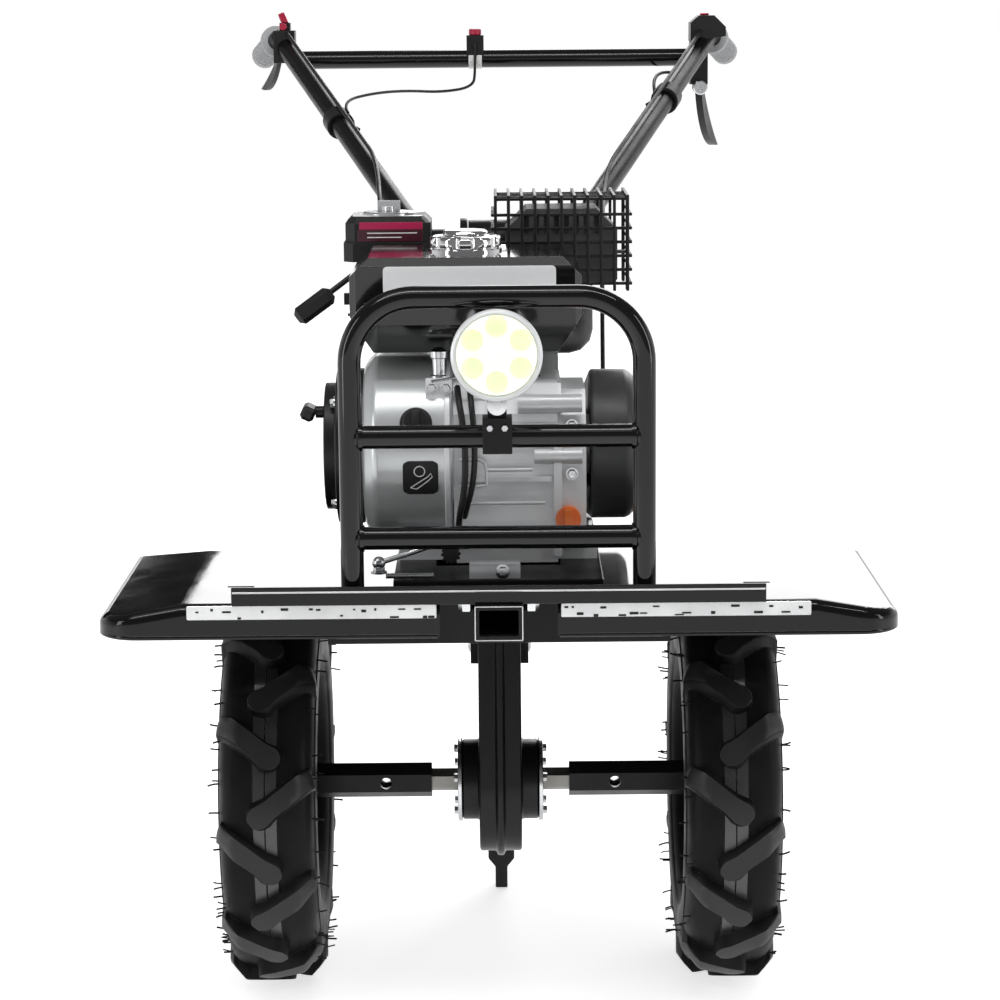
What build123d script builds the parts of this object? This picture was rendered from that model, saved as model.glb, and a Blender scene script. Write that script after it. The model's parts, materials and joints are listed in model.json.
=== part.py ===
import math
import os

from build123d import *

# Overall sizes, in mm: from the lamp's front to the ends of the grips, and across the fenders
overall_length = 1295.0
overall_width = 768.0
front_overhang = 290.0
front_y = -overall_length / 2
rear_y = overall_length / 2
axle_y = front_y + front_overhang

# Fits
contact_gap = 0.3
shaft_clearance = 0.5
pivot_clearance = 0.05
turning_gap = 5.0

# Round tubes are drawn with this many flat sides
tube_sides = 16

# Turned pieces that nothing runs in are drawn with flat sides too
turned_sides = 24

# Wheels: the tyre's radius is to the tips of its lugs
tyre_radius = 207.0
tyre_width = 98.0
track = 466.0
lug_count = 11
lug_height = 15.0
lug_width = 22.0
lug_nose = 13.5
lug_past_middle = 4.0
lug_lean = 38.0
tyre_turn = -3.2
bead_radius = 103.0
rim_thickness = 6.0
rim_half = tyre_width / 2 - 19.0
wheel_dish = rim_half / 5
axle_z = tyre_radius
shaft_flats = 21.0
shaft_bore = shaft_flats / math.sqrt(3) + shaft_clearance
sleeve_flats = 32.0
sleeve_inner_x = 72.0
sleeve_pin_x = 120.0
sleeve_pin_radius = 6.0

# Chassis, from the fenders up
fender_top_z = 2 * tyre_radius + 38.0
sheet = 2.0
fender_inner_x = 56.0
fender_front_y = axle_y - 270.0
fender_fall_y = axle_y + 10.0
fender_rear_y = axle_y + 205.0
fender_fall = 62.0
fender_lip = 32.0
fender_corner = 40.0
fender_roll = 11.0
fender_drop = 14.0
fender_step_x = overall_width / 2 - 82.0
rail_height = 16.0
rail_width = 40.0
rail_x = 81.0
rail_rear_y = axle_y + 262.0
bed_z = fender_top_z + rail_height
bar_front_y = axle_y - 275.0
bar_half = 253.0
bar_leg = 37.0
bar_thickness = 3.0
beam_y = axle_y - 165.0
beam_depth = 25.0
beam_height = 60.0
receiver_width = 45.0
receiver_height = 33.0
receiver_wall = 4.0

# Front guard and headlamp
guard_y = axle_y - 250.0
guard_half = 139.0
guard_tube = 11.0
guard_bend = 62.0
guard_low_z = bed_z + 44.0
guard_middle_z = bed_z + 141.0
guard_top_z = guard_middle_z + 132.0
lamp_radius = 43.0
lamp_depth = 60.0
lamp_z = guard_top_z - 51.0
lens_radius = 38.0
lamp_sides = 36
lens_depth = 5.0

# Drive: gearbox, the leg down to the axle, and the belt
gearbox_half = 52.0
gearbox_front_y = axle_y - 60.0
gearbox_rear_y = axle_y + 170.0
gearbox_bottom_z = fender_top_z - 80.0
leg_half = 22.0
leg_radius = 75.0
seam_half = 4.0
seam_height = 5.0
boss_radius = 42.0
boss_half = 40.0
cap_thickness = 4.5
input_y = axle_y + 95.0
input_z = bed_z + 77.0
input_radius = 42.0
belt_x = 92.0
belt_width = 46.0
belt_front_radius = 75.0
belt_rear_radius = 70.0

# Engine, from its bed and crankshaft
crank_y = axle_y - 70.0
crank_z = bed_z + 106.0
case_left = -43.0
case_right = 87.0
case_front_y = crank_y - 80.0
cover_width = 28.0
foot_height = 12.0
cylinder_tilt = 25.0
cylinder_start = 88.0
cylinder_x = (case_left + case_right) / 2 - 12.0
cylinder_half = 53.0
fin_count = 8
fin_pitch = 10.5
fin_thickness = 4.0
fin_half = 46.0
head_start = cylinder_start + fin_count * fin_pitch + 3.0
head_length = 18.0
port_radius = 13.0
blower_left = -133.0
blower_radius = 92.0
recoil_left = -172.0
recoil_radius = 78.0
tank_x = -30.0
tank_width = 226.0
tank_depth = 170.0
tank_height = 95.0
tank_front_y = crank_y - 80.0
tank_bottom_z = crank_z + 100.0
tank_top_z = tank_bottom_z + tank_height
cap_radius = 36.0
cap_height = 21.0
cleaner_left = -159.0
cleaner_width = 93.0
cleaner_front_y = crank_y + 130.0
cleaner_depth = 90.0
cleaner_bottom_z = tank_bottom_z + 73.0
cleaner_height = 47.0
muffler_left = 10.0
muffler_width = 117.0
muffler_front_y = crank_y + 142.0
muffler_depth = 84.0
muffler_bottom_z = tank_bottom_z + 46.0
muffler_height = 80.0
muffler_shoulder = 22.0
louvre_count = 8
louvre_width = 5.5
cage_gap = 15.0
cage_wire = 3.2
cage_columns = 11
cage_rows = 6

# Handlebars, from the clamp at the top of their column
pivot_y = axle_y + 225.0
pivot_z = bed_z + 284.0
pivot_radius = 12.0
column_half = 30.0
column_depth = 52.0
yoke_plate = 8.0
yoke_radius = 28.0
yoke_gap = 1.0
handle_tube = 12.5
handle_foot_x = 76.0
handle_top_x = 284.0
handle_top_y = rear_y - 88.0
handle_top_z = pivot_z + 216.0
handle_bend = 36.0
grip_end_x = 314.0
grip_end_z = handle_top_z - 28.0
grip_radius = 17.0
grip_length = 84.0
crossbar_share = 0.875
clip_share_left = 0.66
clip_share_right = 0.55
control_share = 0.955
clip_wall = 5.0
cable_radius = 2.5
wire_radius = 1.8

# Rear hitch and drag stake
hitch_half = 32.0
hitch_low_z = fender_top_z - 82.0
hitch_high_z = hitch_low_z + 42.0
hitch_plate = 8.0
hitch_pin_y = axle_y + 285.0
hitch_rear_y = hitch_pin_y + 27.0
hitch_pin_radius = 8.5
stake_y = gearbox_rear_y + 25.0
stake_tip_y = axle_y + 302.0
stake_width = 30.0
stake_thickness = 12.0
stake_tip_width = 14.0
stake_knee_z = 170.0
socket_wall = 5.0
socket_height = 66.0


def block(x0, x1, y0, y1, z0, z1):
    middle = Pos((x0 + x1) / 2, (y0 + y1) / 2, (z0 + z1) / 2)
    return middle * Box(x1 - x0, y1 - y0, z1 - z0)


def bore_x(x0, x1, y, z, radius):
    return Pos((x0 + x1) / 2, y, z) * Rot(0, 90, 0) * Cylinder(radius, abs(x1 - x0))


def bore_y(x, y0, y1, z, radius):
    return Pos(x, (y0 + y1) / 2, z) * Rot(90, 0, 0) * Cylinder(radius, abs(y1 - y0))


def bore_z(x, y, z0, z1, radius):
    return Pos(x, y, (z0 + z1) / 2) * Cylinder(radius, abs(z1 - z0))


def side_plane(x, y=0, z=0):
    return Plane((x, y, z), x_dir=(0, 1, 0), z_dir=(1, 0, 0))


def side_prism(points, x0, x1):
    # a closed outline in Y and Z carried from x0 to x1
    outline = make_face(Polyline(*points, close=True))
    return extrude(side_plane(x0) * outline, amount=x1 - x0)


def front_prism(points, y0, y1):
    # a closed outline in X and Z carried from y0 to y1
    outline = make_face(Polyline(*points, close=True))
    back = Plane((0, y1, 0), x_dir=(1, 0, 0), z_dir=(0, -1, 0))
    return extrude(back * outline, amount=y1 - y0)


def hexagon_x(x0, x1, y, z, flats):
    outline = RegularPolygon(flats / 2, 6, major_radius=False, rotation=30)
    return extrude(side_plane(x0, y, z) * outline, amount=x1 - x0)


def turned(plane, length, radius, sides):
    return extrude(plane * RegularPolygon(radius, sides), amount=length)


def rod_x(x0, x1, y, z, radius, sides=turned_sides):
    return turned(side_plane(min(x0, x1), y, z), abs(x1 - x0), radius, sides)


def rod_y(x, y0, y1, z, radius, sides=turned_sides):
    return turned(Plane((x, min(y0, y1), z), x_dir=(1, 0, 0), z_dir=(0, 1, 0)), abs(y1 - y0), radius, sides)


def rod_z(x, y, z0, z1, radius, sides=turned_sides):
    return turned(Plane((x, y, min(z0, z1))), abs(z1 - z0), radius, sides)


def chorded(points, bend, chords):
    # the points of a bent run, each corner turned in equal short chords
    run = [Vector(*points[0])]
    for before, corner, after in zip(points, points[1:], points[2:]):
        corner = Vector(*corner)
        ahead = (corner - Vector(*before)).normalized()
        onward = (Vector(*after) - corner).normalized()
        turn = math.radians(ahead.get_angle(onward))
        start = corner - ahead * (bend * math.tan(turn / 2))
        middle = corner + (onward - ahead).normalized() * (bend / math.cos(turn / 2))
        for k in range(chords + 1):
            angle = turn * k / chords
            run.append(middle + (start - middle) * math.cos(angle) + ahead * (bend * math.sin(angle)))
    return run + [Vector(*points[-1])]


def tube(points, radius, bend=0, chords=6):
    path = Polyline(*chorded(points, bend, chords)) if len(points) > 2 else Line(*points)
    section = Plane(path @ 0, z_dir=path % 0) * RegularPolygon(radius, tube_sides)
    return sweep(section, path=path, transition=Transition.RIGHT)


def cord(points, radius, bend):
    # straight runs joined by tangent arcs
    path = FilletPolyline(*points, radius=bend)
    section = Plane(path @ 0, z_dir=path % 0) * RegularPolygon(radius, 8)
    return sweep(section, path=path)


def facet_point(point, i, facets):
    # a profile's (x, r) point at the i-th facet's edge round the X axis
    angle = 2 * math.pi * i / facets
    return (point[0], point[1] * math.sin(angle), point[1] * math.cos(angle))


def facet_band(p, q, facets):
    faces = []
    for i in range(facets):
        corners = [facet_point(p, i, facets), facet_point(q, i, facets), facet_point(q, i + 1, facets),
                   facet_point(p, i + 1, facets)]
        faces.append(make_face(Polyline(*corners, close=True)))
    return faces


def faceted_ring(profile, facets):
    # a closed profile carried round the X axis in flat facets
    faces = []
    for p, q in zip(profile, profile[1:] + profile[:1]):
        faces += facet_band(p, q, facets)
    return Solid(Shell(faces))


def faceted_turn(profile, facets):
    # an open profile carried round the X axis, with a flat face at each end
    faces = []
    for p, q in zip(profile, profile[1:]):
        faces += facet_band(p, q, facets)
    for end in (profile[0], profile[-1]):
        rim = [facet_point(end, i, facets) for i in range(facets)]
        faces.append(make_face(Polyline(*rim, close=True)))
    return Solid(Shell(faces))


def between(a, b, share):
    return tuple(p + (q - p) * share for p, q in zip(a, b))


def shifted(point, x=0, y=0, z=0):
    return (point[0] + x, point[1] + y, point[2] + z)


def both_sides(make):
    return [make(side) for side in (-1, 1)]


def chassis_frame():
    front = bar_front_y + bar_leg + 1
    frame = None
    for side in (-1, 1):
        x0, x1 = sorted((side * (rail_x - rail_width / 2), side * (rail_x + rail_width / 2)))
        rail = block(x0, x1, front, rail_rear_y, fender_top_z, bed_z)
        frame = rail if frame is None else frame + rail
    crosses = ((front, front + 75), (gearbox_front_y, gearbox_front_y + 40), (rail_rear_y - 127, rail_rear_y))
    for y0, y1 in crosses:
        frame += block(-rail_x, rail_x, y0, y1, fender_top_z, bed_z)
    return frame


def front_beam():
    half = track / 2 - tyre_width / 2 - 3 * turning_gap
    z1 = fender_top_z - sheet
    z0 = z1 - beam_height
    beam = block(-half, half, beam_y, beam_y + beam_depth, z0, z1)
    channel = block(-half - 1, half + 1, beam_y + 4, beam_y + beam_depth + 1, z0 + 4, z1 - 4)
    neck_half = gearbox_half - 6
    neck = block(-neck_half, neck_half, beam_y + 1, gearbox_front_y, z0 + 10, fender_top_z)
    return beam - channel + neck


def front_bar():
    y0 = bar_front_y
    angle = [(y0, fender_top_z), (y0, bed_z + 2), (y0 + bar_thickness, bed_z + 2),
             (y0 + bar_thickness, fender_top_z + bar_thickness), (y0 + bar_leg, fender_top_z + bar_thickness),
             (y0 + bar_leg, fender_top_z)]
    return side_prism(angle, -bar_half, bar_half)


def front_receiver():
    half = receiver_width / 2
    z1 = fender_top_z
    z0 = z1 - receiver_height
    outer = block(-half, half, front_y + 5, beam_y, z0, z1)
    wall = receiver_wall
    socket = block(-half + wall, half - wall, front_y + 4, beam_y - 6, z0 + wall, z1 - wall)
    return outer - socket


def fender_block(inset):
    # the fender's filled form, drawn in by the inset on every side but the open ones
    outer = overall_width / 2 - inset
    inner = fender_inner_x - (1 if inset else 0)
    top = fender_top_z - inset
    low = fender_top_z - fender_lip - (80 if inset else 0)
    front = fender_front_y + inset
    rear = fender_rear_y - inset
    along = [(front, low), (front, top), (fender_fall_y, top), (rear, top - fender_fall),
             (rear, low - fender_fall), (fender_fall_y, low)]
    skirt = low - fender_fall - 10
    across = [(inner, skirt), (inner, top), (fender_step_x, top), (outer, top - fender_drop), (outer, skirt)]
    body = side_prism(along, inner, outer) & front_prism(across, front - 1, rear + 1)
    corner = body.edges().filter_by(Axis.Z).sort_by(Axis.X)[-2:].sort_by(Axis.Y)[:1]
    body = fillet(corner, fender_corner - inset)
    top_edges = body.edges().filter_by(lambda e: e.center().Z > top - fender_drop - 2)
    ahead = top_edges.filter_by(lambda e: e.center().Y < front + 15)
    level = top_edges.filter_by(lambda e: front + 15 <= e.center().Y < fender_fall_y)
    beside = level.filter_by(lambda e: e.center().X > outer - 15)
    if inset:
        return chamfer(ahead + beside, (fender_roll - inset) * 0.586)
    return fillet(ahead + beside, fender_roll)


def fender(side):
    shell = fender_block(0) - fender_block(sheet)
    slot_y = guard_y + 70
    slot_x = fender_step_x - 50
    shell -= block(slot_x - 13, slot_x + 13, slot_y - 3, slot_y + 3, fender_top_z - 20, fender_top_z + 20)
    return shell if side > 0 else mirror(shell, about=Plane.YZ)


def guard_hoop():
    foot_z = fender_top_z + bar_thickness
    points = [(-guard_half, guard_y, foot_z), (-guard_half, guard_y, guard_top_z),
              (guard_half, guard_y, guard_top_z), (guard_half, guard_y, foot_z)]
    return tube(points, guard_tube, guard_bend)


def guard_bars(hoop):
    bars = []
    for z in (guard_low_z, guard_middle_z):
        bar = tube([(-guard_half, guard_y, z), (guard_half, guard_y, z)], guard_tube)
        bars += (bar - hoop).solids().sort_by(SortBy.VOLUME)[-1:]
    return Compound(bars)


def headlight_shell():
    seat = lens_radius + contact_gap
    profile = [(lens_depth, seat), (0, seat), (0, lamp_radius), (16, lamp_radius), (lamp_depth - 12, 26),
               (lamp_depth, 16)]
    return Pos(0, front_y, lamp_z) * Rot(0, 0, 90) * faceted_turn(profile, lamp_sides)


def headlight_lens():
    return rod_y(0, front_y + 1, front_y + lens_depth, lamp_z, lens_radius, lamp_sides)


def headlight_bracket(bars):
    # a clamp on the guard's middle bar and a stem up to the lamp's bowl
    z = guard_middle_z
    around = guard_tube + 4
    clamp = block(-14, 14, guard_y - around, guard_y + around, z - around, z + around + 4)
    stem = block(-9, 9, guard_y - 4, guard_y + 4, z + guard_tube + 7, lamp_z - 20)
    return clamp + stem - bars - headlight_shell()


def gearbox():
    body = block(-gearbox_half, gearbox_half, gearbox_front_y, gearbox_rear_y, gearbox_bottom_z, fender_top_z)
    body = chamfer(body.edges().filter_by(Axis.Z), 10)
    neck = block(-44, 44, input_y - 40, input_y + 39, fender_top_z - 1, input_z)
    input_case = rod_x(-50, belt_x, input_y, input_z, input_radius)
    rim_z = gearbox_bottom_z + 34
    rim_half_width = gearbox_half + 3
    rim = block(-rim_half_width, rim_half_width, gearbox_front_y + 12, gearbox_rear_y - 12, rim_z, rim_z + 10)
    return body + neck + input_case + rim


def leg_outline(grow):
    lower = Pos(axle_y, axle_z) * RegularPolygon(leg_radius + grow, 40)
    upper = Pos(axle_y + 12, gearbox_bottom_z - 5) * Rectangle(2 * leg_radius - 20 + 2 * grow, 10)
    return make_hull(lower.edges() + upper.edges())


def drive_leg():
    leg = extrude(side_plane(-leg_half) * leg_outline(0), amount=2 * leg_half)
    seam = extrude(side_plane(-seam_half) * leg_outline(seam_height), amount=2 * seam_half)
    boss = rod_x(-boss_half, boss_half, axle_y, axle_z, boss_radius, 32)
    bore = bore_x(-boss_half - 1, boss_half + 1, axle_y, axle_z, shaft_bore)
    return leg + seam + boss - bore


def bearing_caps():
    def cap(side):
        x0, x1 = sorted((side * boss_half, side * (boss_half + cap_thickness)))
        plate = rod_x(x0, x1, axle_y, axle_z, boss_radius + 2, 32)
        return plate - rod_x(x0 - 1, x1 + 1, axle_y, axle_z, shaft_bore + 1)

    return Compound(both_sides(cap))


def along_cylinder(distance, rise):
    # a point beside the cylinder's slanting axis, as (y, z)
    a = math.radians(cylinder_tilt)
    y = distance * math.cos(a) - rise * math.sin(a)
    z = distance * math.sin(a) + rise * math.cos(a)
    return (crank_y + y, crank_z + z)


def cover_outline(grow):
    y0, y1 = crank_y - 78 - grow, crank_y + 78 + grow
    z0, z1 = bed_z + 14 - grow, crank_z + 62 + grow
    return [(y0, z0), (y0, z1 - 42), (y0 + 30, z1), (y1 - 38, z1), (y1, z1 - 42), (y1, z0)]


def crankcase():
    deck = fin_half + 4
    outline = [(case_front_y, bed_z), (case_front_y, crank_z + 42), (case_front_y + 28, crank_z + 72),
               along_cylinder(cylinder_start, deck), along_cylinder(cylinder_start, -deck),
               (crank_y + 84, bed_z)]
    split_x = case_right - cover_width
    case = side_prism(outline, case_left, split_x)
    case += side_prism(cover_outline(0), split_x, case_right)
    case += side_prism(cover_outline(7), split_x - 4, split_x + 4)
    case += block(-98, 98, crank_y - 62, crank_y + 62, bed_z, bed_z + foot_height)
    case += rod_x(case_right, belt_x, crank_y, crank_z, 30)
    for x0, z, radius in ((20, crank_z + 52, 9), (36, crank_z, 8), (30, bed_z + 30, 7)):
        case += rod_x(x0, case_right - 4, case_front_y, z, radius)
    for z in (crank_z + 30, crank_z + 16, crank_z - 22):
        case += block(case_left + 6, split_x - 6, case_front_y - 4, case_front_y + 1, z - 2.5, z + 2.5)
    return case


def oil_cap(case):
    x, z = case_right - 18, bed_z + 44
    disc = rod_y(x, case_front_y - 10, case_front_y + 2, z, 12.5)
    grip = block(x - 3.5, x + 3.5, case_front_y - 20, case_front_y - 9, z - 11, z + 11)
    return disc + grip - case


def cylinder():
    place = Pos(cylinder_x, crank_y, crank_z) * Rot(cylinder_tilt, 0, 0)
    barrel_length = head_start - cylinder_start + 1
    width, height = 2 * cylinder_half, 2 * fin_half
    barrel = Pos(0, cylinder_start + barrel_length / 2, 0) * Box(width - 26, barrel_length, height - 24)
    for i in range(fin_count):
        barrel += Pos(0, cylinder_start + 8 + i * fin_pitch, 0) * Box(width, fin_thickness, height)
    barrel += Pos(0, head_start + head_length / 2, 0) * Box(width, head_length, height - 8)
    cover = Pos(0, head_start + head_length + 13, -4) * Box(width - 26, 28, height - 22)
    cover = chamfer(cover.faces().sort_by(Axis.Y)[-1].edges(), 8)
    return place * (barrel + cover)


def blower_housing():
    drum = Pos(crank_y, crank_z) * RegularPolygon(blower_radius, 48)
    duct = make_face(Polyline(along_cylinder(70, fin_half), along_cylinder(110, fin_half),
                              along_cylinder(110, -fin_half), along_cylinder(70, -fin_half), close=True))
    outline = make_hull(drum.edges() + duct.edges())
    body = extrude(side_plane(blower_left) * outline, amount=case_left - blower_left)
    return chamfer(body.faces().sort_by(Axis.X)[0].edges(), 12)


def recoil_cover():
    step_x = recoil_left + 12
    cover = rod_x(step_x, blower_left, crank_y, crank_z, recoil_radius, 36)
    cover += rod_x(recoil_left, step_x, crank_y, crank_z, recoil_radius - 14)
    slots = 12
    for i in range(slots):
        slot = Pos(0, 0, recoil_radius) * Box(14, 18, 16)
        cover -= Pos((step_x + blower_left) / 2, crank_y, crank_z) * Rot(i * 360 / slots, 0, 0) * slot
    return cover


def recoil_handle():
    y, z = crank_y - 40, crank_z + 40
    stem = rod_x(recoil_left - 8, recoil_left, y, z, 6)
    grip = Pos(recoil_left - 15, y, z) * Rot(0, 25, 0) * chamfer(Box(14, 34, 14).edges(), 3)
    return stem + grip


def fuel_tank(case):
    half = tank_width / 2
    x0, x1 = tank_x - half, tank_x + half
    y0, y1 = tank_front_y, tank_front_y + tank_depth
    z0, z1 = tank_bottom_z, tank_top_z
    front = [(x0 + 22, z0), (x0, z0 + 38), (x0, z1 - 18), (x0 + 18, z1),
             (x1 - 18, z1), (x1, z1 - 18), (x1, z0 + 38), (x1 - 22, z0)]
    side = [(y0 + 26, z0), (y0, z0 + 30), (y0, z1 - 8), (y0 + 7, z1),
            (y1 - 16, z1), (y1, z1 - 24), (y1, z0 + 20), (y1 - 8, z0)]
    body = front_prism(front, y0 - 1, y1 + 1) & side_prism(side, x0 - 1, x1 + 1)
    body = chamfer(body.edges().filter_by(Axis.Z), 6)
    seam_z = z0 + tank_height * 0.42
    body += block(x0 - 2, x1 + 2, y0 + 8, y1 - 8, seam_z - 1.5, seam_z + 1.5)
    for x in (case_left + 14, case_right - cover_width - 24):
        body += block(x - 8, x + 8, crank_y - 40, crank_y + 30, crank_z + 60, z0 + 4)
    return body - case


def fuel_cap():
    place = Plane((tank_x, tank_front_y + tank_depth / 2, tank_top_z))
    rim = extrude(place * RegularPolygon(cap_radius, 30), amount=cap_height - 6)
    rim = chamfer(rim.faces().sort_by(Axis.Z)[-1].edges(), 2)
    crown = extrude(place * RegularPolygon(cap_radius * 0.6, 24), amount=cap_height)
    return rim + crown


def air_cleaner():
    x0, x1 = cleaner_left, cleaner_left + cleaner_width
    y0, y1 = cleaner_front_y, cleaner_front_y + cleaner_depth
    z0, z1 = cleaner_bottom_z, cleaner_bottom_z + cleaner_height
    split_z = z0 + 20
    base = chamfer(block(x0, x1, y0, y1, z0, split_z).edges().filter_by(Axis.Z), 10)
    lid = chamfer(block(x0 + 2, x1 - 2, y0 + 2, y1 - 2, split_z, z1).edges().filter_by(Axis.Z), 10)
    lid = chamfer(lid.faces().sort_by(Axis.Z)[-1].edges(), 7)
    x, y = (x0 + x1) / 2, (y0 + y1) / 2
    nut = rod_z(x, y, z1, z1 + 8, 7) + block(x - 12, x + 12, y - 1.5, y + 1.5, z1 + 3, z1 + 14)
    return base + lid + nut


def carburettor():
    x0, x1 = cleaner_left + 20, cylinder_x - cylinder_half - 29
    y0, y1 = cleaner_front_y + 6, cleaner_front_y + 70
    z1 = cleaner_bottom_z
    z0 = z1 - 84
    body = block(x0 + 14, x1, y0 + 8, y1 - 8, z0 + 26, z1)
    bowl = rod_z((x0 + x1) / 2 + 8, (y0 + y1) / 2, z0, z0 + 27, 24)
    flange = block(x0, x1 + 4, y0, y1, z1 - 10, z1)
    y, z = along_cylinder(head_start + head_length / 2, 8)
    intake = rod_x(x1 - 2, cylinder_x - cylinder_half, y, z, port_radius + 2)
    return body + bowl + flange + intake


def engine_levers(carburettor_part):
    # the speed lever with its large grip, and the small choke lever behind it
    x, y, z = cleaner_left + 12, cleaner_front_y + 6, cleaner_bottom_z - 22
    rod = tube([(x + 10, y + 12, z + 17), (x - 30, y - 4, z - 12)], 3)
    paddle = Pos(x - 43, y - 6, z - 23) * Rot(0, -36, 0) * chamfer(Box(46, 13, 20).edges(), 5)
    choke = block(x - 14, x + 22, y + 30, y + 38, z - 26, z - 14)
    return Compound([rod + paddle - carburettor_part, choke])


def muffler():
    x0, x1 = muffler_left, muffler_left + muffler_width
    y0, y1 = muffler_front_y, muffler_front_y + muffler_depth
    z0, z1 = muffler_bottom_z, muffler_bottom_z + muffler_height
    slope = muffler_shoulder
    outline = [(x0, z0 + 6), (x0, z1 - slope), (x0 + slope, z1), (x1 - slope, z1),
               (x1, z1 - slope), (x1, z0 + 6), (x1 - 6, z0), (x0 + 6, z0)]
    body = front_prism(outline, y0, y1)
    for i in range(louvre_count):
        x = x0 + slope + (muffler_width - 2 * slope) * i / (louvre_count - 1)
        body -= block(x - louvre_width / 2, x + louvre_width / 2, y0 - 1, y0 + 6, z1 - 26, z1 - 7)
    y, z = along_cylinder(head_start + head_length / 2, 8)
    start = cylinder_x + cylinder_half
    pipe = tube([(start, y, z), (start + 26, y, z), (start + 26, y + 10, z0 + 2)], port_radius, 14, 3)
    outlet = rod_y((x0 + x1) / 2 + 30, y1 - 1, y1 + 14, z1 - 24, 11)
    reach = cage_gap - cage_wire
    middle = (y0 + y1) / 2
    stays = block(x0 - reach, x1 + reach, middle - 6, middle + 6, cage_row_z(2), cage_row_z(2) + cage_wire)
    return body + pipe + outlet + stays


def u_wire(a0, a1, b0, b1):
    # the flat outline of a wire with two legs down to b0 and a bridge at b1
    w = cage_wire
    outside = [(a0, b0), (a0, b1), (a1, b1), (a1, b0)]
    inside = [(a1 - w, b0), (a1 - w, b1 - w), (a0 + w, b1 - w), (a0 + w, b0)]
    return outside + inside


def cage_row_z(i):
    low = muffler_bottom_z + 1
    return low + (muffler_height - 8) * i / (cage_rows - 1)


def muffler_cage():
    # hoops over the top, then rows round the sides just inside them, then bars across, all one wire thick
    w = cage_wire
    x0, x1 = muffler_left - cage_gap, muffler_left + muffler_width + cage_gap
    y0, y1 = muffler_front_y - cage_gap, muffler_front_y + muffler_depth + cage_gap + 8
    z0, z1 = muffler_bottom_z - 5, muffler_bottom_z + muffler_height + cage_gap
    wires = []
    for i in range(cage_columns):
        x = x0 + w + (x1 - x0 - 3 * w) * i / (cage_columns - 1)
        wires.append(side_prism(u_wire(y0, y1, z0, z1), x, x + w))
    layer = w + 0.1
    for i in range(cage_rows):
        outline = u_wire(x0, x1, -(y1 - layer), -(y0 + layer))
        ring = make_face(Polyline(*[(x, -y) for x, y in outline], close=True))
        wires.append(extrude(Plane((0, 0, cage_row_z(i))) * ring, amount=w))
    rows_top = 5
    for i in range(rows_top):
        y = y0 + 16 + (y1 - y0 - 32) * i / (rows_top - 1)
        outline = u_wire(x0 + layer, x1 - layer, z0, z1 - layer)
        if 0 < i < rows_top - 1:
            high, low = z1 - layer, z1 - layer - w
            outline = [(x0 + w, high), (x1 - w, high), (x1 - w, low), (x0 + w, low)]
        wires.append(front_prism(outline, y - w / 2, y + w / 2))
    return Compound(wires)


def belt_cover():
    front = Pos(crank_y, crank_z) * RegularPolygon(belt_front_radius, 40)
    rear = Pos(input_y, input_z) * RegularPolygon(belt_rear_radius, 40)
    outline = make_hull(front.edges() + rear.edges())
    body = extrude(side_plane(belt_x) * outline, amount=belt_width)
    return chamfer(body.faces().sort_by(Axis.X)[-1].edges(), 8)


def shift_lever(gearbox_part):
    x = 30
    z = fender_top_z - 20
    top = (x, axle_y + 400, z + 248)
    rod = tube([(x, gearbox_rear_y - 2, z), (x, axle_y + 285, z + 14), top], 6, 40, 4)
    knob = extrude(Plane(top) * RegularPolygon(15, tube_sides), amount=34)
    knob = chamfer(knob.faces().sort_by(Axis.Z)[-1].edges() + knob.faces().sort_by(Axis.Z)[0].edges(), 6)
    return rod + knob - gearbox_part


def rear_hitch():
    y0 = gearbox_rear_y
    high = hitch_high_z + hitch_plate
    hitch = block(-hitch_half, hitch_half, y0, y0 + 8, hitch_low_z - 78, high)
    for z in (hitch_low_z, hitch_high_z):
        plate = block(-hitch_half, hitch_half, y0 + 1, hitch_rear_y, z, z + hitch_plate)
        hitch += fillet(plate.edges().filter_by(Axis.Z).sort_by(Axis.Y)[-2:], 14)
    hitch -= bore_z(0, hitch_pin_y, hitch_low_z - 5, high + 5, hitch_pin_radius)
    half_x = stake_width / 2 + contact_gap
    half_y = stake_thickness / 2 + contact_gap
    z1 = hitch_low_z - 8
    z0 = z1 - socket_height
    wide = half_x + socket_wall
    socket = block(-wide, wide, y0 + 1, stake_y + half_y + socket_wall, z0, z1)
    socket -= block(-half_x, half_x, stake_y - half_y, stake_y + half_y, z0 - 1, z1 + 1)
    pin = rod_y(0, stake_y + half_y + 1, stake_y + half_y + socket_wall + 10, (z0 + z1) / 2, 6)
    return hitch + socket + pin


def drag_stake():
    half = stake_thickness / 2
    top = hitch_low_z - 4
    profile = [(stake_y - half, top), (stake_y - half, stake_knee_z), (stake_tip_y - 22, 0), (stake_tip_y, 0),
               (stake_tip_y + 2, 14), (stake_y + half, stake_knee_z + 6), (stake_y + half, top)]
    bar = side_prism(profile, -stake_width / 2, stake_width / 2)
    for side in (-1, 1):
        near, edge, far = side * stake_tip_width / 2, side * (stake_width / 2 + 0.1), side * stake_width
        taper = [(near, -1), (near, 30), (edge, 42), (far, 42), (far, -1)]
        bar -= front_prism(taper, stake_y - 50, stake_tip_y + 50)
    return bar


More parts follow.
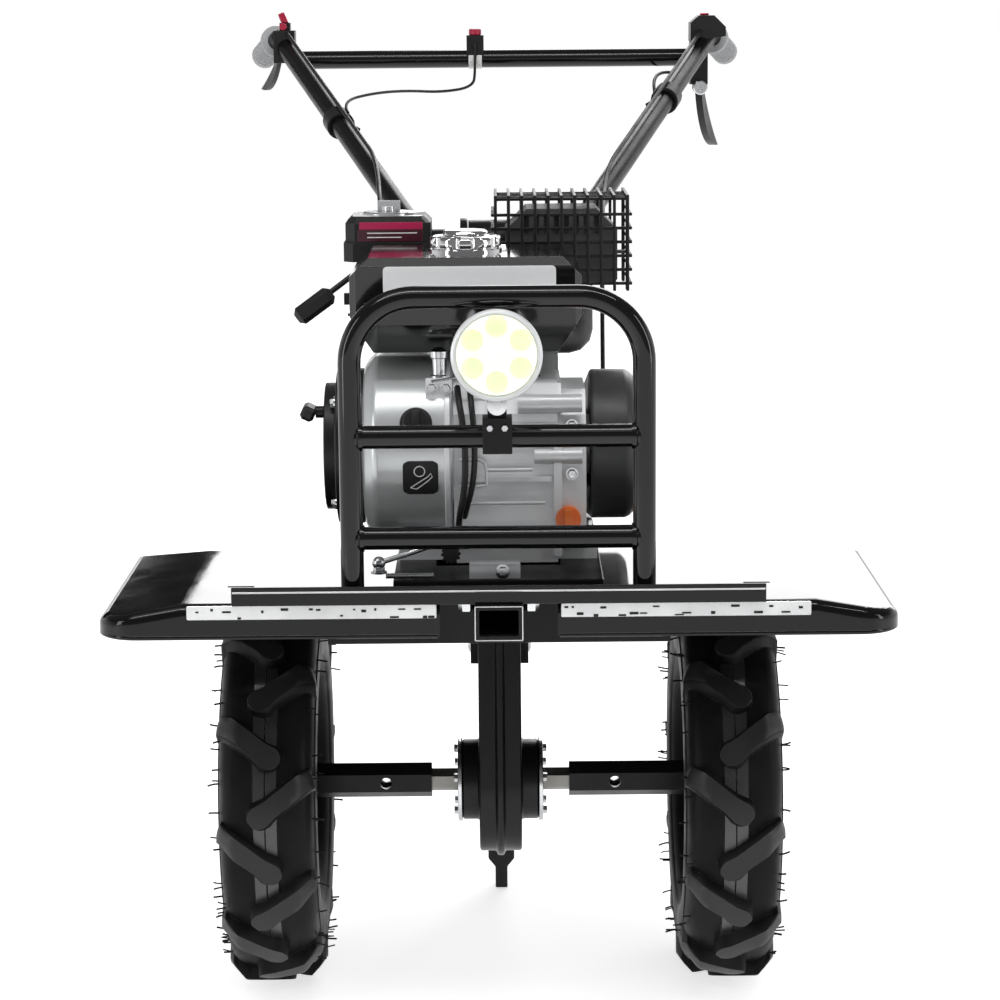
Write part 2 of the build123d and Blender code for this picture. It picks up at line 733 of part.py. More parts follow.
def handle_column():
    half = column_depth / 2
    column = block(-column_half, column_half, pivot_y - half, pivot_y + half, bed_z, pivot_z)
    column += rod_x(-column_half, column_half, pivot_y, pivot_z, half)
    column += block(-70, 70, pivot_y - half - 8, pivot_y + half + 10, bed_z, bed_z + 10)
    for side in (-1, 1):
        x0, x1 = side * column_half, side * 66
        gusset = [(x0 - side, bed_z + 9), (x0 - side, bed_z + 110), (x0, bed_z + 110), (x1, bed_z + 9)]
        column += front_prism(gusset, pivot_y - 4, pivot_y + 4)
    open_half = column_half - 12
    window = block(-open_half, open_half, pivot_y - half - 1, pivot_y + half + 1, bed_z + 60, pivot_z - 60)
    bore = bore_x(-column_half - 1, column_half + 1, pivot_y, pivot_z, pivot_radius + pivot_clearance)
    return column - window - bore


def handle_yoke():
    # the clamp bolt, its two serrated plates and the pads that carry the tubes
    reach = column_half + yoke_gap + yoke_plate
    yoke = bore_x(-reach - 1, reach + 1, pivot_y, pivot_z, pivot_radius)
    for side in (-1, 1):
        x0, x1 = sorted((side * (reach - yoke_plate), side * reach))
        yoke += rod_x(x0, x1, pivot_y, pivot_z, yoke_radius, 28)
        pad0, pad1 = sorted((side * (reach - 1), side * (handle_foot_x - 4)))
        yoke += rod_x(pad0, pad1, pivot_y, pivot_z, 16, 16)
    return yoke


def handle_points(side):
    foot = (side * handle_foot_x, pivot_y - 10, pivot_z - 3)
    top = (side * handle_top_x, handle_top_y, handle_top_z)
    end = (side * grip_end_x, rear_y, grip_end_z)
    return foot, top, end


def grip_start(side):
    _, top, end = handle_points(side)
    return between(top, end, 1 - grip_length / math.dist(top, end))


def handle_tube_part(side, yoke):
    foot, top, _ = handle_points(side)
    return tube([foot, top, grip_start(side)], handle_tube, handle_bend, 4) - yoke


def handle_crossbar(tubes):
    foot, top, _ = handle_points(1)
    x, y, z = between(foot, top, crossbar_share)
    bar = tube([(-x, y, z), (x, y, z)], handle_tube - 1)
    for one in tubes:
        bar -= one
    return bar.solids().sort_by(SortBy.VOLUME)[-1]


def hand_grips():
    def grip(side):
        start = grip_start(side)
        direction = (Vector(*handle_points(side)[2]) - Vector(*start)).normalized()
        place = Plane(start, z_dir=direction)
        body = turned(place, grip_length + 20, grip_radius, 20)
        body += turned(place, 7, grip_radius + 4, 20)
        return body - block(-overall_width, overall_width, rear_y, rear_y + 99, 0, 2 * handle_top_z)

    return Compound(both_sides(grip))


def lever_blade(reach, drop, width, thickness):
    # a curved hand lever in its own side view: from the pivot at the origin, back and down
    tip = (reach, -drop)
    outer = ThreePointArc((-width, 0), (reach * 0.36, -drop * 0.72 - width / 2), tip)
    inner = ThreePointArc(tip, (reach * 0.46, -drop * 0.56 + width / 2), (width, 0))
    blade = make_face([outer, inner, Line((width, 0), (-width, 0))])
    return extrude(side_plane(-thickness / 2) * blade, amount=thickness)


def control_left(tube_part):
    # the hooded housing above the tube, and the clutch lever hanging from its block below
    foot, top, _ = handle_points(1)
    x, y, z = between(foot, top, control_share)
    outline = [(x - 19, z + 2), (x - 19, z + 26), (x - 8, z + 35), (x + 12, z + 35), (x + 27, z + 20),
               (x + 27, z + 8)]
    hood = front_prism(outline, y - 20, y + 26)
    clamp = block(x - 19, x + 4, y - 14, y + 14, z - 54, z + 4)
    pivot = rod_y(x - 6, y - 17, y + 12, z - 58, 9)
    lever = Pos(x - 6, y, z - 60) * Rot(0, 0, -16) * lever_blade(100, 78, 8, 9)
    return hood + clamp + pivot + lever - tube_part


def control_right(tube_part):
    # the clamp with its thumb lever, and the long thin lever beside the grip
    foot, top, _ = handle_points(-1)
    x, y, z = between(foot, top, control_share)
    clamp = block(x - 14, x + 14, y - 15, y + 15, z - 22, z + 20)
    post = block(x - 6, x + 8, y - 8, y + 8, z + 19, z + 30)
    lever = Pos(x - 8, y, z - 18) * Rot(0, 0, 17) * lever_blade(100, 40, 6, 6)
    return clamp + post + lever - tube_part


def stop_switch(bar):
    foot, top, _ = handle_points(1)
    _, y, z = between(foot, top, crossbar_share)
    return block(-36, -14, y - 12, y + 12, z + 4, z + 30) - bar


def red_caps():
    # the red tips of the stop switch, the thumb lever and the throttle housing
    foot, top, _ = handle_points(1)
    _, bar_y, bar_z = between(foot, top, crossbar_share)
    x, y, z = between(foot, top, control_share)
    switch = rod_z(-25, bar_y, bar_z + 30, bar_z + 38, 8)
    lever = front_prism([(-x - 4, z + 30), (-x - 8, z + 41), (-x, z + 44), (-x + 6, z + 30)], y - 7, y + 7)
    button = rod_y(-x - 1, y - 14, y - 8, z + 25, 5)
    tip = block(x - 6, x + 6, y - 5, y + 5, z + 35, z + 38)
    return Compound([switch, lever, button, tip])


def beside_tube(side, share, away):
    # a point on the upper side of a handle tube, the given distance from its axis
    foot, top, _ = handle_points(side)
    point = Vector(*between(foot, top, share))
    along = (Vector(*top) - Vector(*foot)).normalized()
    up = Vector(0, 0, 1)
    return tuple(point + (up - along * up.dot(along)).normalized() * away)


def cable_clips(tubes):
    def clip(side, share):
        foot, top, _ = handle_points(side)
        place = Plane(between(foot, top, share), z_dir=Vector(*top) - Vector(*foot))
        return extrude(place * RegularPolygon(handle_tube + clip_wall, 20), amount=13, both=True)

    right, left = tubes
    return Compound([clip(-1, clip_share_right) - right, clip(1, clip_share_left) - left])


def stop_wire():
    foot, top, _ = handle_points(-1)
    _, bar_y, bar_z = between(foot, top, crossbar_share)
    y = bar_y - handle_tube - wire_radius
    over_clip = beside_tube(-1, clip_share_right, handle_tube + clip_wall + wire_radius + 0.1)
    points = [(-25, y, bar_z + 20), (-25, y, bar_z - 36), (-110, bar_y - 110, bar_z - 42),
              shifted(over_clip, 1.5, 14.6, 3.2), shifted(over_clip, 10.9, -14.2, -5.8)]
    return cord(points, wire_radius, 12)


def throttle_cable(control):
    away = handle_tube + clip_wall + cable_radius + 0.2
    end = (cleaner_left + 36, cleaner_front_y + cleaner_depth + cable_radius + 0.2, cleaner_bottom_z + 12)
    points = [beside_tube(-1, control_share - 0.01, away), beside_tube(-1, 0.30, away),
              shifted(end, 0, 0, 22), shifted(end, 0, 0, -10)]
    return cord(points, cable_radius, 18) - control


def clutch_cable(control):
    away = handle_tube + clip_wall + cable_radius + 0.2
    end = (belt_x + belt_width / 2, input_y + belt_rear_radius + cable_radius + 0.2, input_z + 30)
    points = [beside_tube(1, control_share - 0.01, away), beside_tube(1, 0.24, away),
              shifted(end, 0, 14, 190), shifted(end, 0, 14, 90), shifted(end, 0, 0, 40), shifted(end, 0, 0, -20)]
    return cord(points, cable_radius, 18) - control


def sleeve_blank(side):
    outer = side * (track / 2 + wheel_dish + 22)
    x0, x1 = sorted((side * sleeve_inner_x, outer))
    return hexagon_x(x0, x1, axle_y, axle_z, sleeve_flats)


def sleeve(side):
    # the hexagonal tube that slides on the shaft and is held by a cross pin
    bore = hexagon_x(-track, track, axle_y, axle_z, shaft_flats + 2 * shaft_clearance)
    pin = bore_y(side * sleeve_pin_x, axle_y - sleeve_flats, axle_y + sleeve_flats, axle_z, sleeve_pin_radius)
    return sleeve_blank(side) - bore - pin


def wheel(side):
    # the pressed rim and its disc, welded round the sleeve
    r = bead_radius - contact_gap
    inner = r - rim_thickness
    edge = rim_half + 3
    flange = r + 14
    disc = wheel_dish + 6
    profile = [(-edge, flange), (-rim_half, flange), (-rim_half, r), (rim_half, r), (rim_half, flange),
               (edge, flange), (edge, inner), (disc, inner), (disc, 8), (wheel_dish, 8), (wheel_dish, inner),
               (-edge, inner)]
    rim = faceted_ring(profile, 2 * lug_count)
    if side < 0:
        rim = mirror(rim, about=Plane.YZ)
    return Pos(side * track / 2, axle_y, axle_z) * rim - sleeve_blank(side)


def axle_shaft():
    reach = sleeve_pin_x - sleeve_pin_radius - 8
    return hexagon_x(-reach, reach, axle_y, axle_z, shaft_flats)


def tread_bar(crown):
    # one lug at the top of the tyre: from its shoulder, leaning, to a round nose just past the middle line
    outer = tyre_width / 2 + 3
    slope = math.tan(math.radians(lug_lean))
    drop = (outer + lug_past_middle) * slope
    nose = (-lug_past_middle, -drop / 2)
    half = lug_width / 2 / math.cos(math.radians(lug_lean))
    bar = make_face(Polyline((nose[0], nose[1] - half), (outer, drop / 2 - half), (outer, drop / 2 + half),
                             (nose[0], nose[1] + half), close=True))
    outline = bar + Pos(*nose) * RegularPolygon(lug_nose, 8)
    base = tyre_radius - lug_height
    lug = extrude(Plane((0, 0, base - 24)) * outline, amount=lug_height + 40)
    return lug & crown


def tyre():
    base = tyre_radius - lug_height
    half = tyre_width / 2
    bead = rim_half - contact_gap
    facets = 4 * lug_count
    side = [(bead, bead_radius), (bead, bead_radius + 17), (half, bead_radius + 42), (half - 2, base - 16),
            (half - 15, base)]
    body = faceted_ring([(-x, r) for x, r in side] + side[::-1], facets)
    shoulder = [(half, base - 30), (half, base - 4), (half - 17, tyre_radius)]
    crown = faceted_ring([(-x, r) for x, r in shoulder] + shoulder[::-1], facets)
    bar = tread_bar(crown)
    pitch = 360 / lug_count
    lugs = []
    for i in range(lug_count):
        lugs.append(Rot(i * pitch, 0, 0) * bar)
        lugs.append(Rot((i + 0.5) * pitch, 0, 0) * mirror(bar, about=Plane.YZ))
    return body.fuse(*lugs)


def placed_tyre(body, side):
    # the two tyres are mirror images, turned so that their lugs stand alike
    body = Rot(tyre_turn, 0, 0) * body
    if side < 0:
        body = mirror(body, about=Plane.YZ)
    return Pos(side * track / 2, axle_y, axle_z) * body


os.makedirs("parts", exist_ok=True)
case = crankcase()
gear_case = gearbox()
carburettor_part = carburettor()
hoop = guard_hoop()
bars = guard_bars(hoop)
yoke = handle_yoke()
tubes = [handle_tube_part(side, yoke) for side in (-1, 1)]
crossbar = handle_crossbar(tubes)
left_control = control_left(tubes[1])
right_control = control_right(tubes[0])
tyre_body = tyre()
parts = {
    "chassis_frame": chassis_frame(),
    "front_beam": front_beam(),
    "front_bar": front_bar(),
    "front_receiver": front_receiver(),
    "fender_left": fender(1),
    "fender_right": fender(-1),
    "guard_hoop": hoop,
    "guard_bars": bars,
    "headlight_shell": headlight_shell(),
    "headlight_lens": headlight_lens(),
    "headlight_bracket": headlight_bracket(bars),
    "gearbox": gear_case,
    "drive_leg": drive_leg(),
    "bearing_caps": bearing_caps(),
    "crankcase": case,
    "oil_cap": oil_cap(case),
    "cylinder": cylinder(),
    "blower_housing": blower_housing(),
    "recoil_cover": recoil_cover(),
    "recoil_handle": recoil_handle(),
    "fuel_tank": fuel_tank(case),
    "fuel_cap": fuel_cap(),
    "air_cleaner": air_cleaner(),
    "carburettor": carburettor_part,
    "engine_levers": engine_levers(carburettor_part),
    "muffler": muffler(),
    "muffler_cage": muffler_cage(),
    "belt_cover": belt_cover(),
    "shift_lever": shift_lever(gear_case),
    "rear_hitch": rear_hitch(),
    "drag_stake": drag_stake(),
    "handle_column": handle_column(),
    "handle_yoke": yoke,
    "handle_tube_left": tubes[1],
    "handle_tube_right": tubes[0],
    "handle_crossbar": crossbar,
    "hand_grips": hand_grips(),
    "control_left": left_control,
    "control_right": right_control,
    "stop_switch": stop_switch(crossbar),
    "red_caps": red_caps(),
    "cable_clips": cable_clips(tubes),
    "stop_wire": stop_wire(),
    "throttle_cable": throttle_cable(right_control),
    "clutch_cable": clutch_cable(left_control),
    "axle_shaft": axle_shaft(),
    "sleeve_left": sleeve(1),
    "sleeve_right": sleeve(-1),
    "wheel_left": wheel(1),
    "wheel_right": wheel(-1),
    "tyre_left": placed_tyre(tyre_body, 1),
    "tyre_right": placed_tyre(tyre_body, -1),
}
for name, shape in parts.items():
    export_step(shape, f"parts/{name}.step")
    box = shape.bounding_box()
    print(name, [round(v, 1) for v in (*box.min, *box.max)], len(shape.solids()))
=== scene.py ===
import json
from math import cos, degrees, hypot, pi, radians, sin, sqrt, tan
import random
import bmesh
import bpy
from mathutils import Matrix, Vector


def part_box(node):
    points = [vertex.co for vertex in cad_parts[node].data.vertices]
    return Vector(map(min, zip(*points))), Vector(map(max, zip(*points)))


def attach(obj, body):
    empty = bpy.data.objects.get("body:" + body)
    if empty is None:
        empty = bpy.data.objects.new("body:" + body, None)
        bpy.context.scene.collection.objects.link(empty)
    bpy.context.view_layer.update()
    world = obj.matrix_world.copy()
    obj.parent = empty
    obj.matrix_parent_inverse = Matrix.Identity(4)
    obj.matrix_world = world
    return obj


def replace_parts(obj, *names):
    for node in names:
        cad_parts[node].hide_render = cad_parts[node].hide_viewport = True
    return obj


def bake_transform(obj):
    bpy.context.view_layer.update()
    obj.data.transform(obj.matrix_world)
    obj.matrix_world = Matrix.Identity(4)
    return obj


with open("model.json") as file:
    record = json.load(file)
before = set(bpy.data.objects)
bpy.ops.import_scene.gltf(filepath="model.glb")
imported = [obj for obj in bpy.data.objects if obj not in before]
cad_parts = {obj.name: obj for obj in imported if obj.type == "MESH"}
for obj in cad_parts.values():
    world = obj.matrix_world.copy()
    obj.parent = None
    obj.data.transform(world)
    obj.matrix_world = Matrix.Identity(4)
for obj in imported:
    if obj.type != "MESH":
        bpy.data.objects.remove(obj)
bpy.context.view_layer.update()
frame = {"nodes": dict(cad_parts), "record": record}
scene = bpy.context.scene
scene.view_settings.view_transform = "Standard"
mm = 0.001
slotOf = {p["node"]: p["material_slot"] for p in frame["record"]["subparts"]}
bodyOf = {n: b for b, ns in frame["record"]["behaviour"]["bodies"].items() for n in ns}
up = Vector((0, 0, 1))
front = Vector((0, -1, 0))
leftward = Vector((1, 0, 0))  # the machine's left is +X
print("frame loaded:", len(frame["nodes"]), "nodes")

# camera, as the photograph was taken: a long lens, low, from straight in front
shot = {"lens": 104.4, "sensor": 36.0, "place": (0.002, -3.3175, 1.015), "pitch": 9.78, "roll": -0.5}
camera = bpy.data.objects.new("camera", bpy.data.cameras.new("camera"))
camera.data.lens = shot["lens"]
camera.data.sensor_width = shot["sensor"]
camera.data.clip_end = 60
tilt = Matrix.Rotation(radians(90 - shot["pitch"]), 4, "X") @ Matrix.Rotation(radians(shot["roll"]), 4, "Z")
camera.matrix_world = Matrix.Translation(shot["place"]) @ tilt
scene.collection.objects.link(camera)
scene.camera = camera

# node helpers


def put(tree, kind, **settings):
    node = tree.nodes.new(kind)
    for key, value in settings.items():
        if key in node.inputs.keys():
            node.inputs[key].default_value = value
        else:
            setattr(node, key, value)
    return node


def wire(tree, source, target):
    tree.links.new(source, target)


def maths(tree, operation, a, b=None, clamp=False):
    node = put(tree, "ShaderNodeMath", operation=operation, use_clamp=clamp)
    for socket, value in zip(node.inputs, (a, b)):
        if isinstance(value, (int, float)):
            socket.default_value = value
        elif value is not None:
            wire(tree, value, socket)
    return node.outputs[0]


def spread(tree, value, low, high):
    # stretches a part of a value's range to 0..1
    node = put(tree, "ShaderNodeMapRange", clamp=True)
    node.inputs["From Min"].default_value = low
    node.inputs["From Max"].default_value = high
    wire(tree, value, node.inputs["Value"])
    return node.outputs[0]


def mixColour(tree, factor, a, b):
    node = put(tree, "ShaderNodeMix", data_type="RGBA")
    for socket, value in ((node.inputs[0], factor), (node.inputs[6], a), (node.inputs[7], b)):
        if isinstance(value, bpy.types.NodeSocket):
            wire(tree, value, socket)
        else:
            socket.default_value = value
    return node.outputs[2]


def noise(tree, **settings):
    # cloudy noise over the piece's own coordinates
    node = put(tree, "ShaderNodeTexNoise", **settings)
    wire(tree, put(tree, "ShaderNodeTexCoord").outputs["Object"], node.inputs["Vector"])
    return node


def fill(node, values):
    for key, value in values.items():
        node.inputs[key].default_value = value


def newMaterial(name):
    material = bpy.data.materials.new(name)
    material.use_nodes = True
    return material, material.node_tree


def newGroup(name, inputs, outputs):
    # inputs by name with their first value, outputs by name; a colour has four numbers
    group = bpy.data.node_groups.new(name, "ShaderNodeTree")
    for label, value in inputs.items():
        kind = "NodeSocketColor" if isinstance(value, tuple) else "NodeSocketFloat"
        group.interface.new_socket(name=label, in_out="INPUT", socket_type=kind).default_value = value
    for label in outputs:
        kind = "NodeSocketColor" if label == "Colour" else "NodeSocketFloat"
        group.interface.new_socket(name=label, in_out="OUTPUT", socket_type=kind)
    return group, put(group, "NodeGroupInput").outputs, put(group, "NodeGroupOutput").inputs


def grainGroup():
    # two sizes of skin: sand-cast or moulded grain, and slower waves under it
    group, given, out = newGroup("surface grain", {"Scale": 400.0, "Waves": 0.3}, ("Height", "Patches"))
    fine = noise(group, Detail=3.0, Roughness=0.6)
    wire(group, given["Scale"], fine.inputs["Scale"])
    slow = noise(group, Scale=22.0, Detail=4.0)
    waves = maths(group, "MULTIPLY", slow.outputs["Fac"], given["Waves"])
    wire(group, maths(group, "ADD", fine.outputs["Fac"], waves), out["Height"])
    wire(group, spread(group, slow.outputs["Fac"], 0.38, 0.66), out["Patches"])
    return group


def dustGroup():
    # pale dust on what faces up, broken by cloudy noise
    first = {"Base": (0, 0, 0, 1), "Dust": (0.5, 0.47, 0.43, 1), "Amount": 0.1}
    group, given, out = newGroup("settled dust", first, ("Colour", "Mask"))
    normal = put(group, "ShaderNodeSeparateXYZ")
    wire(group, put(group, "ShaderNodeNewGeometry").outputs["Normal"], normal.inputs[0])
    cloud = noise(group, Scale=26.0, Detail=6.0, Roughness=0.65)
    upward = spread(group, normal.outputs["Z"], -0.2, 1.0)
    patches = spread(group, cloud.outputs["Fac"], 0.36, 0.72)
    mask = maths(group, "MULTIPLY", maths(group, "MULTIPLY", upward, patches), given["Amount"], clamp=True)
    wire(group, mask, out["Mask"])
    wire(group, mixColour(group, mask, given["Base"], given["Dust"]), out["Colour"])
    return group


def edgeWearAndSheenGroup():
    # where a rounded normal leaves the true one there is an edge, and its colour turns to the worn colour:
    # rubbed edges, and on the tyres a painted edge highlight
    first = {"Base": (0, 0, 0, 1), "Worn And Sheen": (0.3, 0.3, 0.3, 1), "Radius": 0.002, "Amount": 0.3}
    group, given, out = newGroup("rubbed edges and edge sheen", first, ("Colour",))
    bevel = put(group, "ShaderNodeBevel", samples=4)
    wire(group, given["Radius"], bevel.inputs["Radius"])
    dot = put(group, "ShaderNodeVectorMath", operation="DOT_PRODUCT")
    wire(group, bevel.outputs[0], dot.inputs[0])
    wire(group, put(group, "ShaderNodeNewGeometry").outputs["Normal"], dot.inputs[1])
    broken = noise(group, Scale=160.0, Detail=3.0)
    edge = spread(group, maths(group, "SUBTRACT", 1.0, dot.outputs["Value"]), 0.01, 0.16)
    rubbedAndSheen = maths(group, "MULTIPLY", edge, spread(group, broken.outputs["Fac"], 0.36, 0.62))
    mask = maths(group, "MULTIPLY", rubbedAndSheen, given["Amount"], clamp=True)
    wire(group, mixColour(group, mask, given["Base"], given["Worn And Sheen"]), out["Colour"])
    return group


def toneGroup():
    # a colour that drifts a little lighter and darker over a hand's width
    first = {"Base": (0.1, 0.1, 0.1, 1), "Shade": (0.05, 0.05, 0.05, 1), "Scale": 12.0, "Amount": 0.5}
    group, given, out = newGroup("drifting tone", first, ("Colour",))
    cloud = noise(group, Detail=5.0, Roughness=0.55)
    wire(group, given["Scale"], cloud.inputs["Scale"])
    drift = maths(group, "MULTIPLY", spread(group, cloud.outputs["Fac"], 0.3, 0.7), given["Amount"],
                  clamp=True)
    wire(group, mixColour(group, drift, given["Base"], given["Shade"]), out["Colour"])
    return group


groups = {"grain": grainGroup(), "dust": dustGroup(), "edge": edgeWearAndSheenGroup(), "tone": toneGroup()}

# each finish of the machine: colours, gloss and how strongly each effect shows
finishes = {
    "black_gloss": {"base": (0.0045, 0.0045, 0.005), "shade": (0.003, 0.003, 0.0035), "rough": (0.05, 0.09),
        "shine": 0.25, "coat": 0.08, "grain": (260, 0.015), "dust": 0.004, "worn_and_sheen": (0.05, 0.05, 0.052),
        "wear_and_sheen": 0.3},
    "pipe_black": {"base": (0.0045, 0.0045, 0.005), "shade": (0.003, 0.003, 0.0035), "rough": (0.07, 0.1),
        "shine": 0.42, "grain": (300, 0.004), "dust": 0.003, "worn_and_sheen": (0.04, 0.04, 0.042), "wear_and_sheen": 0.25},
    "bar_black": {"base": (0.006, 0.006, 0.0065), "shade": (0.004, 0.004, 0.0045), "rough": (0.26, 0.34),
        "shine": 0.1, "grain": (300, 0.006), "dust": 0.003, "worn_and_sheen": (0.05, 0.05, 0.052), "wear_and_sheen": 0.25},
    "black_satin": {"base": (0.009, 0.009, 0.0095), "shade": (0.006, 0.006, 0.0065), "rough": (0.28, 0.4),
        "shine": 0.2, "grain": (420, 0.05), "dust": 0.015, "worn_and_sheen": 0.09, "wear_and_sheen": 0.35},
    "case_black": {"base": (0.01, 0.01, 0.0105), "shade": 0.006, "rough": (0.28, 0.42), "shine": 0.25,
        "grain": (330, 0.14), "dust": 0.02, "worn_and_sheen": 0.1, "wear_and_sheen": 0.35},
    "silver_cast": {"base": (0.6, 0.61, 0.62), "shade": (0.54, 0.55, 0.56), "rough": (0.34, 0.48),
        "metal": 0.3, "grain": (380, 0.14), "dust": 0.03, "worn_and_sheen": 0.72, "wear_and_sheen": 0.4},
    "silver_sheet": {"base": (0.62, 0.64, 0.645), "shade": (0.585, 0.605, 0.61), "rough": (0.275, 0.3),
        "metal": 0.5, "grain": (520, 0.03), "dust": 0.006, "worn_and_sheen": (0.7, 0.71, 0.71), "wear_and_sheen": 0.1},
    "zinc": {"base": (0.66, 0.67, 0.68), "shade": (0.5, 0.51, 0.53), "rough": (0.18, 0.34), "metal": 1.0,
        "grain": (600, 0.03), "dust": 0.03, "worn_and_sheen": 0.82, "wear_and_sheen": 0.3},
    "steel_dull": {"base": (0.23, 0.225, 0.21), "shade": (0.15, 0.145, 0.13), "rough": (0.3, 0.44),
        "metal": 0.9, "grain": (520, 0.05), "dust": 0.03, "worn_and_sheen": (0.5, 0.5, 0.48), "wear_and_sheen": 0.3},
    "chrome": {"base": (0.8, 0.8, 0.81), "shade": (0.72, 0.72, 0.74), "rough": (0.04, 0.1), "metal": 1.0,
        "grain": (700, 0.005), "dust": 0.01, "worn_and_sheen": 0.86, "wear_and_sheen": 0.2},
    # painted highlight: the bright finish of the strips and lines that stand in for reflections
    "painted_highlight_white": {"base": (0.84, 0.85, 0.85), "shade": (0.55, 0.56, 0.57), "rough": (0.1, 0.2),
        "metal": 0.35, "grain": (700, 0.01), "dust": 0.01, "worn_and_sheen": 0.86, "wear_and_sheen": 0.2},
    "black_plastic": {"base": (0.008, 0.008, 0.0085), "shade": (0.012, 0.012, 0.0125),
        "rough": (0.38, 0.52), "shine": 0.3, "grain": (900, 0.06), "dust": 0.02, "worn_and_sheen": 0.05,
        "wear_and_sheen": 0.25},
    "grey_plastic": {"base": (0.04, 0.041, 0.042), "shade": (0.03, 0.031, 0.032), "rough": (0.36, 0.5),
        "shine": 0.35, "grain": (800, 0.07), "dust": 0.03, "worn_and_sheen": 0.11, "wear_and_sheen": 0.3},
    "tank_black": {"base": (0.005, 0.005, 0.0055), "shade": (0.007, 0.007, 0.0075), "rough": (0.07, 0.12),
        "shine": 0.4, "coat": 0.5, "grain": (140, 0.012), "dust": 0.004, "worn_and_sheen": 0.05, "wear_and_sheen": 0.2},
    "orange_plastic": {"base": (0.86, 0.19, 0.018), "shade": (0.76, 0.14, 0.012), "rough": (0.26, 0.36),
        "grain": (800, 0.03), "dust": 0.02, "worn_and_sheen": (0.9, 0.34, 0.12), "wear_and_sheen": 0.3},
    "red_plastic": {"base": (0.44, 0.009, 0.045), "shade": (0.34, 0.006, 0.032), "rough": (0.24, 0.36),
        "grain": (800, 0.03), "dust": 0.02, "worn_and_sheen": (0.6, 0.1, 0.14), "wear_and_sheen": 0.3},
    "grip_rubber": {"base": (0.46, 0.465, 0.475), "shade": (0.38, 0.385, 0.395), "rough": (0.5, 0.64),
        "grain": (1200, 0.1), "dust": 0.03, "worn_and_sheen": 0.56, "wear_and_sheen": 0.3},
    "cable_black": {"base": 0.01, "shade": 0.015, "rough": (0.38, 0.52), "shine": 0.3, "grain": (900, 0.03),
        "dust": 0.02, "worn_and_sheen": 0.04, "wear_and_sheen": 0.2},
    # the lighter edge colour of the tyres is a painted highlight
    "tyre_rubber": {"base": (0.0055, 0.0055, 0.0058), "shade": (0.0085, 0.0083, 0.0082),
        "rough": (0.44, 0.58), "shine": 0.12, "grain": (520, 0.12), "dust": 0.02,
        "worn_and_sheen": (0.05, 0.05, 0.049), "wear_and_sheen": 0.6},
    # a lighter copy of the tyre rubber for the lug tops: painted sheen
    "tyre_lug_top_painted_sheen": {"base": (0.0125, 0.0128, 0.0135), "shade": (0.017, 0.0172, 0.0178), "rough": (0.4, 0.52),
        "shine": 0.34, "grain": (520, 0.12), "dust": 0.02, "worn_and_sheen": (0.05, 0.05, 0.049), "wear_and_sheen": 0.6},
    # the rib's gloss is its own, its lighter colour a painted sheen
    "tyre_shine": {"base": (0.016, 0.016, 0.0165), "shade": 0.028, "rough": (0.26, 0.36), "shine": 0.8,
        "grain": (520, 0.08), "dust": 0.04, "worn_and_sheen": (0.06, 0.06, 0.058), "wear_and_sheen": 0.5},
    "muffler_black": {"base": (0.07, 0.07, 0.072), "shade": (0.08, 0.077, 0.075), "rough": (0.46, 0.6),
        "grain": (500, 0.08), "dust": 0.05, "worn_and_sheen": (0.12, 0.11, 0.1), "wear_and_sheen": 0.35},
    "cage_black": {"base": 0.006, "shade": 0.009, "rough": (0.36, 0.5), "shine": 0.3, "grain": (700, 0.05),
        "dust": 0.01, "worn_and_sheen": 0.07, "wear_and_sheen": 0.3},
    "panel_silver": {"base": (0.78, 0.79, 0.8), "shade": (0.765, 0.775, 0.785), "rough": (0.275, 0.285),
        "metal": 0.15, "grain": (900, 0.004), "dust": 0.0, "worn_and_sheen": 0.8, "wear_and_sheen": 0.0},
    "label_crimson": {"base": (0.42, 0.008, 0.075), "shade": (0.34, 0.007, 0.058), "rough": (0.26, 0.36),
        "grain": (900, 0.01), "dust": 0.0, "worn_and_sheen": (0.45, 0.1, 0.14), "wear_and_sheen": 0.1},
    "label_maroon": {"base": (0.055, 0.006, 0.016), "shade": (0.03, 0.004, 0.009), "rough": (0.26, 0.36),
        "grain": (900, 0.01), "dust": 0.0, "worn_and_sheen": (0.12, 0.05, 0.06), "wear_and_sheen": 0.1},
    "label_pale": {"base": (0.7, 0.7, 0.69), "shade": (0.62, 0.62, 0.61), "rough": (0.34, 0.44),
        "grain": (900, 0.01), "dust": 0.0, "worn_and_sheen": 0.76, "wear_and_sheen": 0.1},
    # painted glow: it makes the light cells and the reflector look bright
    "led_phosphor": {"base": (0.88, 0.94, 0.6), "shade": (0.85, 0.92, 0.52), "rough": (0.28, 0.38),
        "grain": (900, 0.01), "dust": 0.0, "worn_and_sheen": (0.9, 0.92, 0.6), "wear_and_sheen": 0.1, "glow": 0.55},
    "lamp_cup": {"base": (0.92, 0.93, 0.88), "shade": (0.88, 0.91, 0.78), "rough": (0.16, 0.24),
        "metal": 0.1, "grain": (900, 0.01), "dust": 0.0, "worn_and_sheen": (0.94, 0.94, 0.9), "wear_and_sheen": 0.1,
        "glow": 0.6},
    "plug_ceramic": {"base": (0.78, 0.77, 0.74), "shade": (0.7, 0.69, 0.66), "rough": (0.14, 0.22),
        "grain": (900, 0.01), "dust": 0.02, "worn_and_sheen": (0.82, 0.82, 0.8), "wear_and_sheen": 0.1},
}


def rgba(colour):
    # a grey is one number
    return (*colour, 1.0) if isinstance(colour, tuple) else (colour, colour, colour, 1.0)


# what all finishes share
finishBase = {"drift": 0.8, "dustRough": 0.5, "coatRough": 0.06, "bump": 0.001}


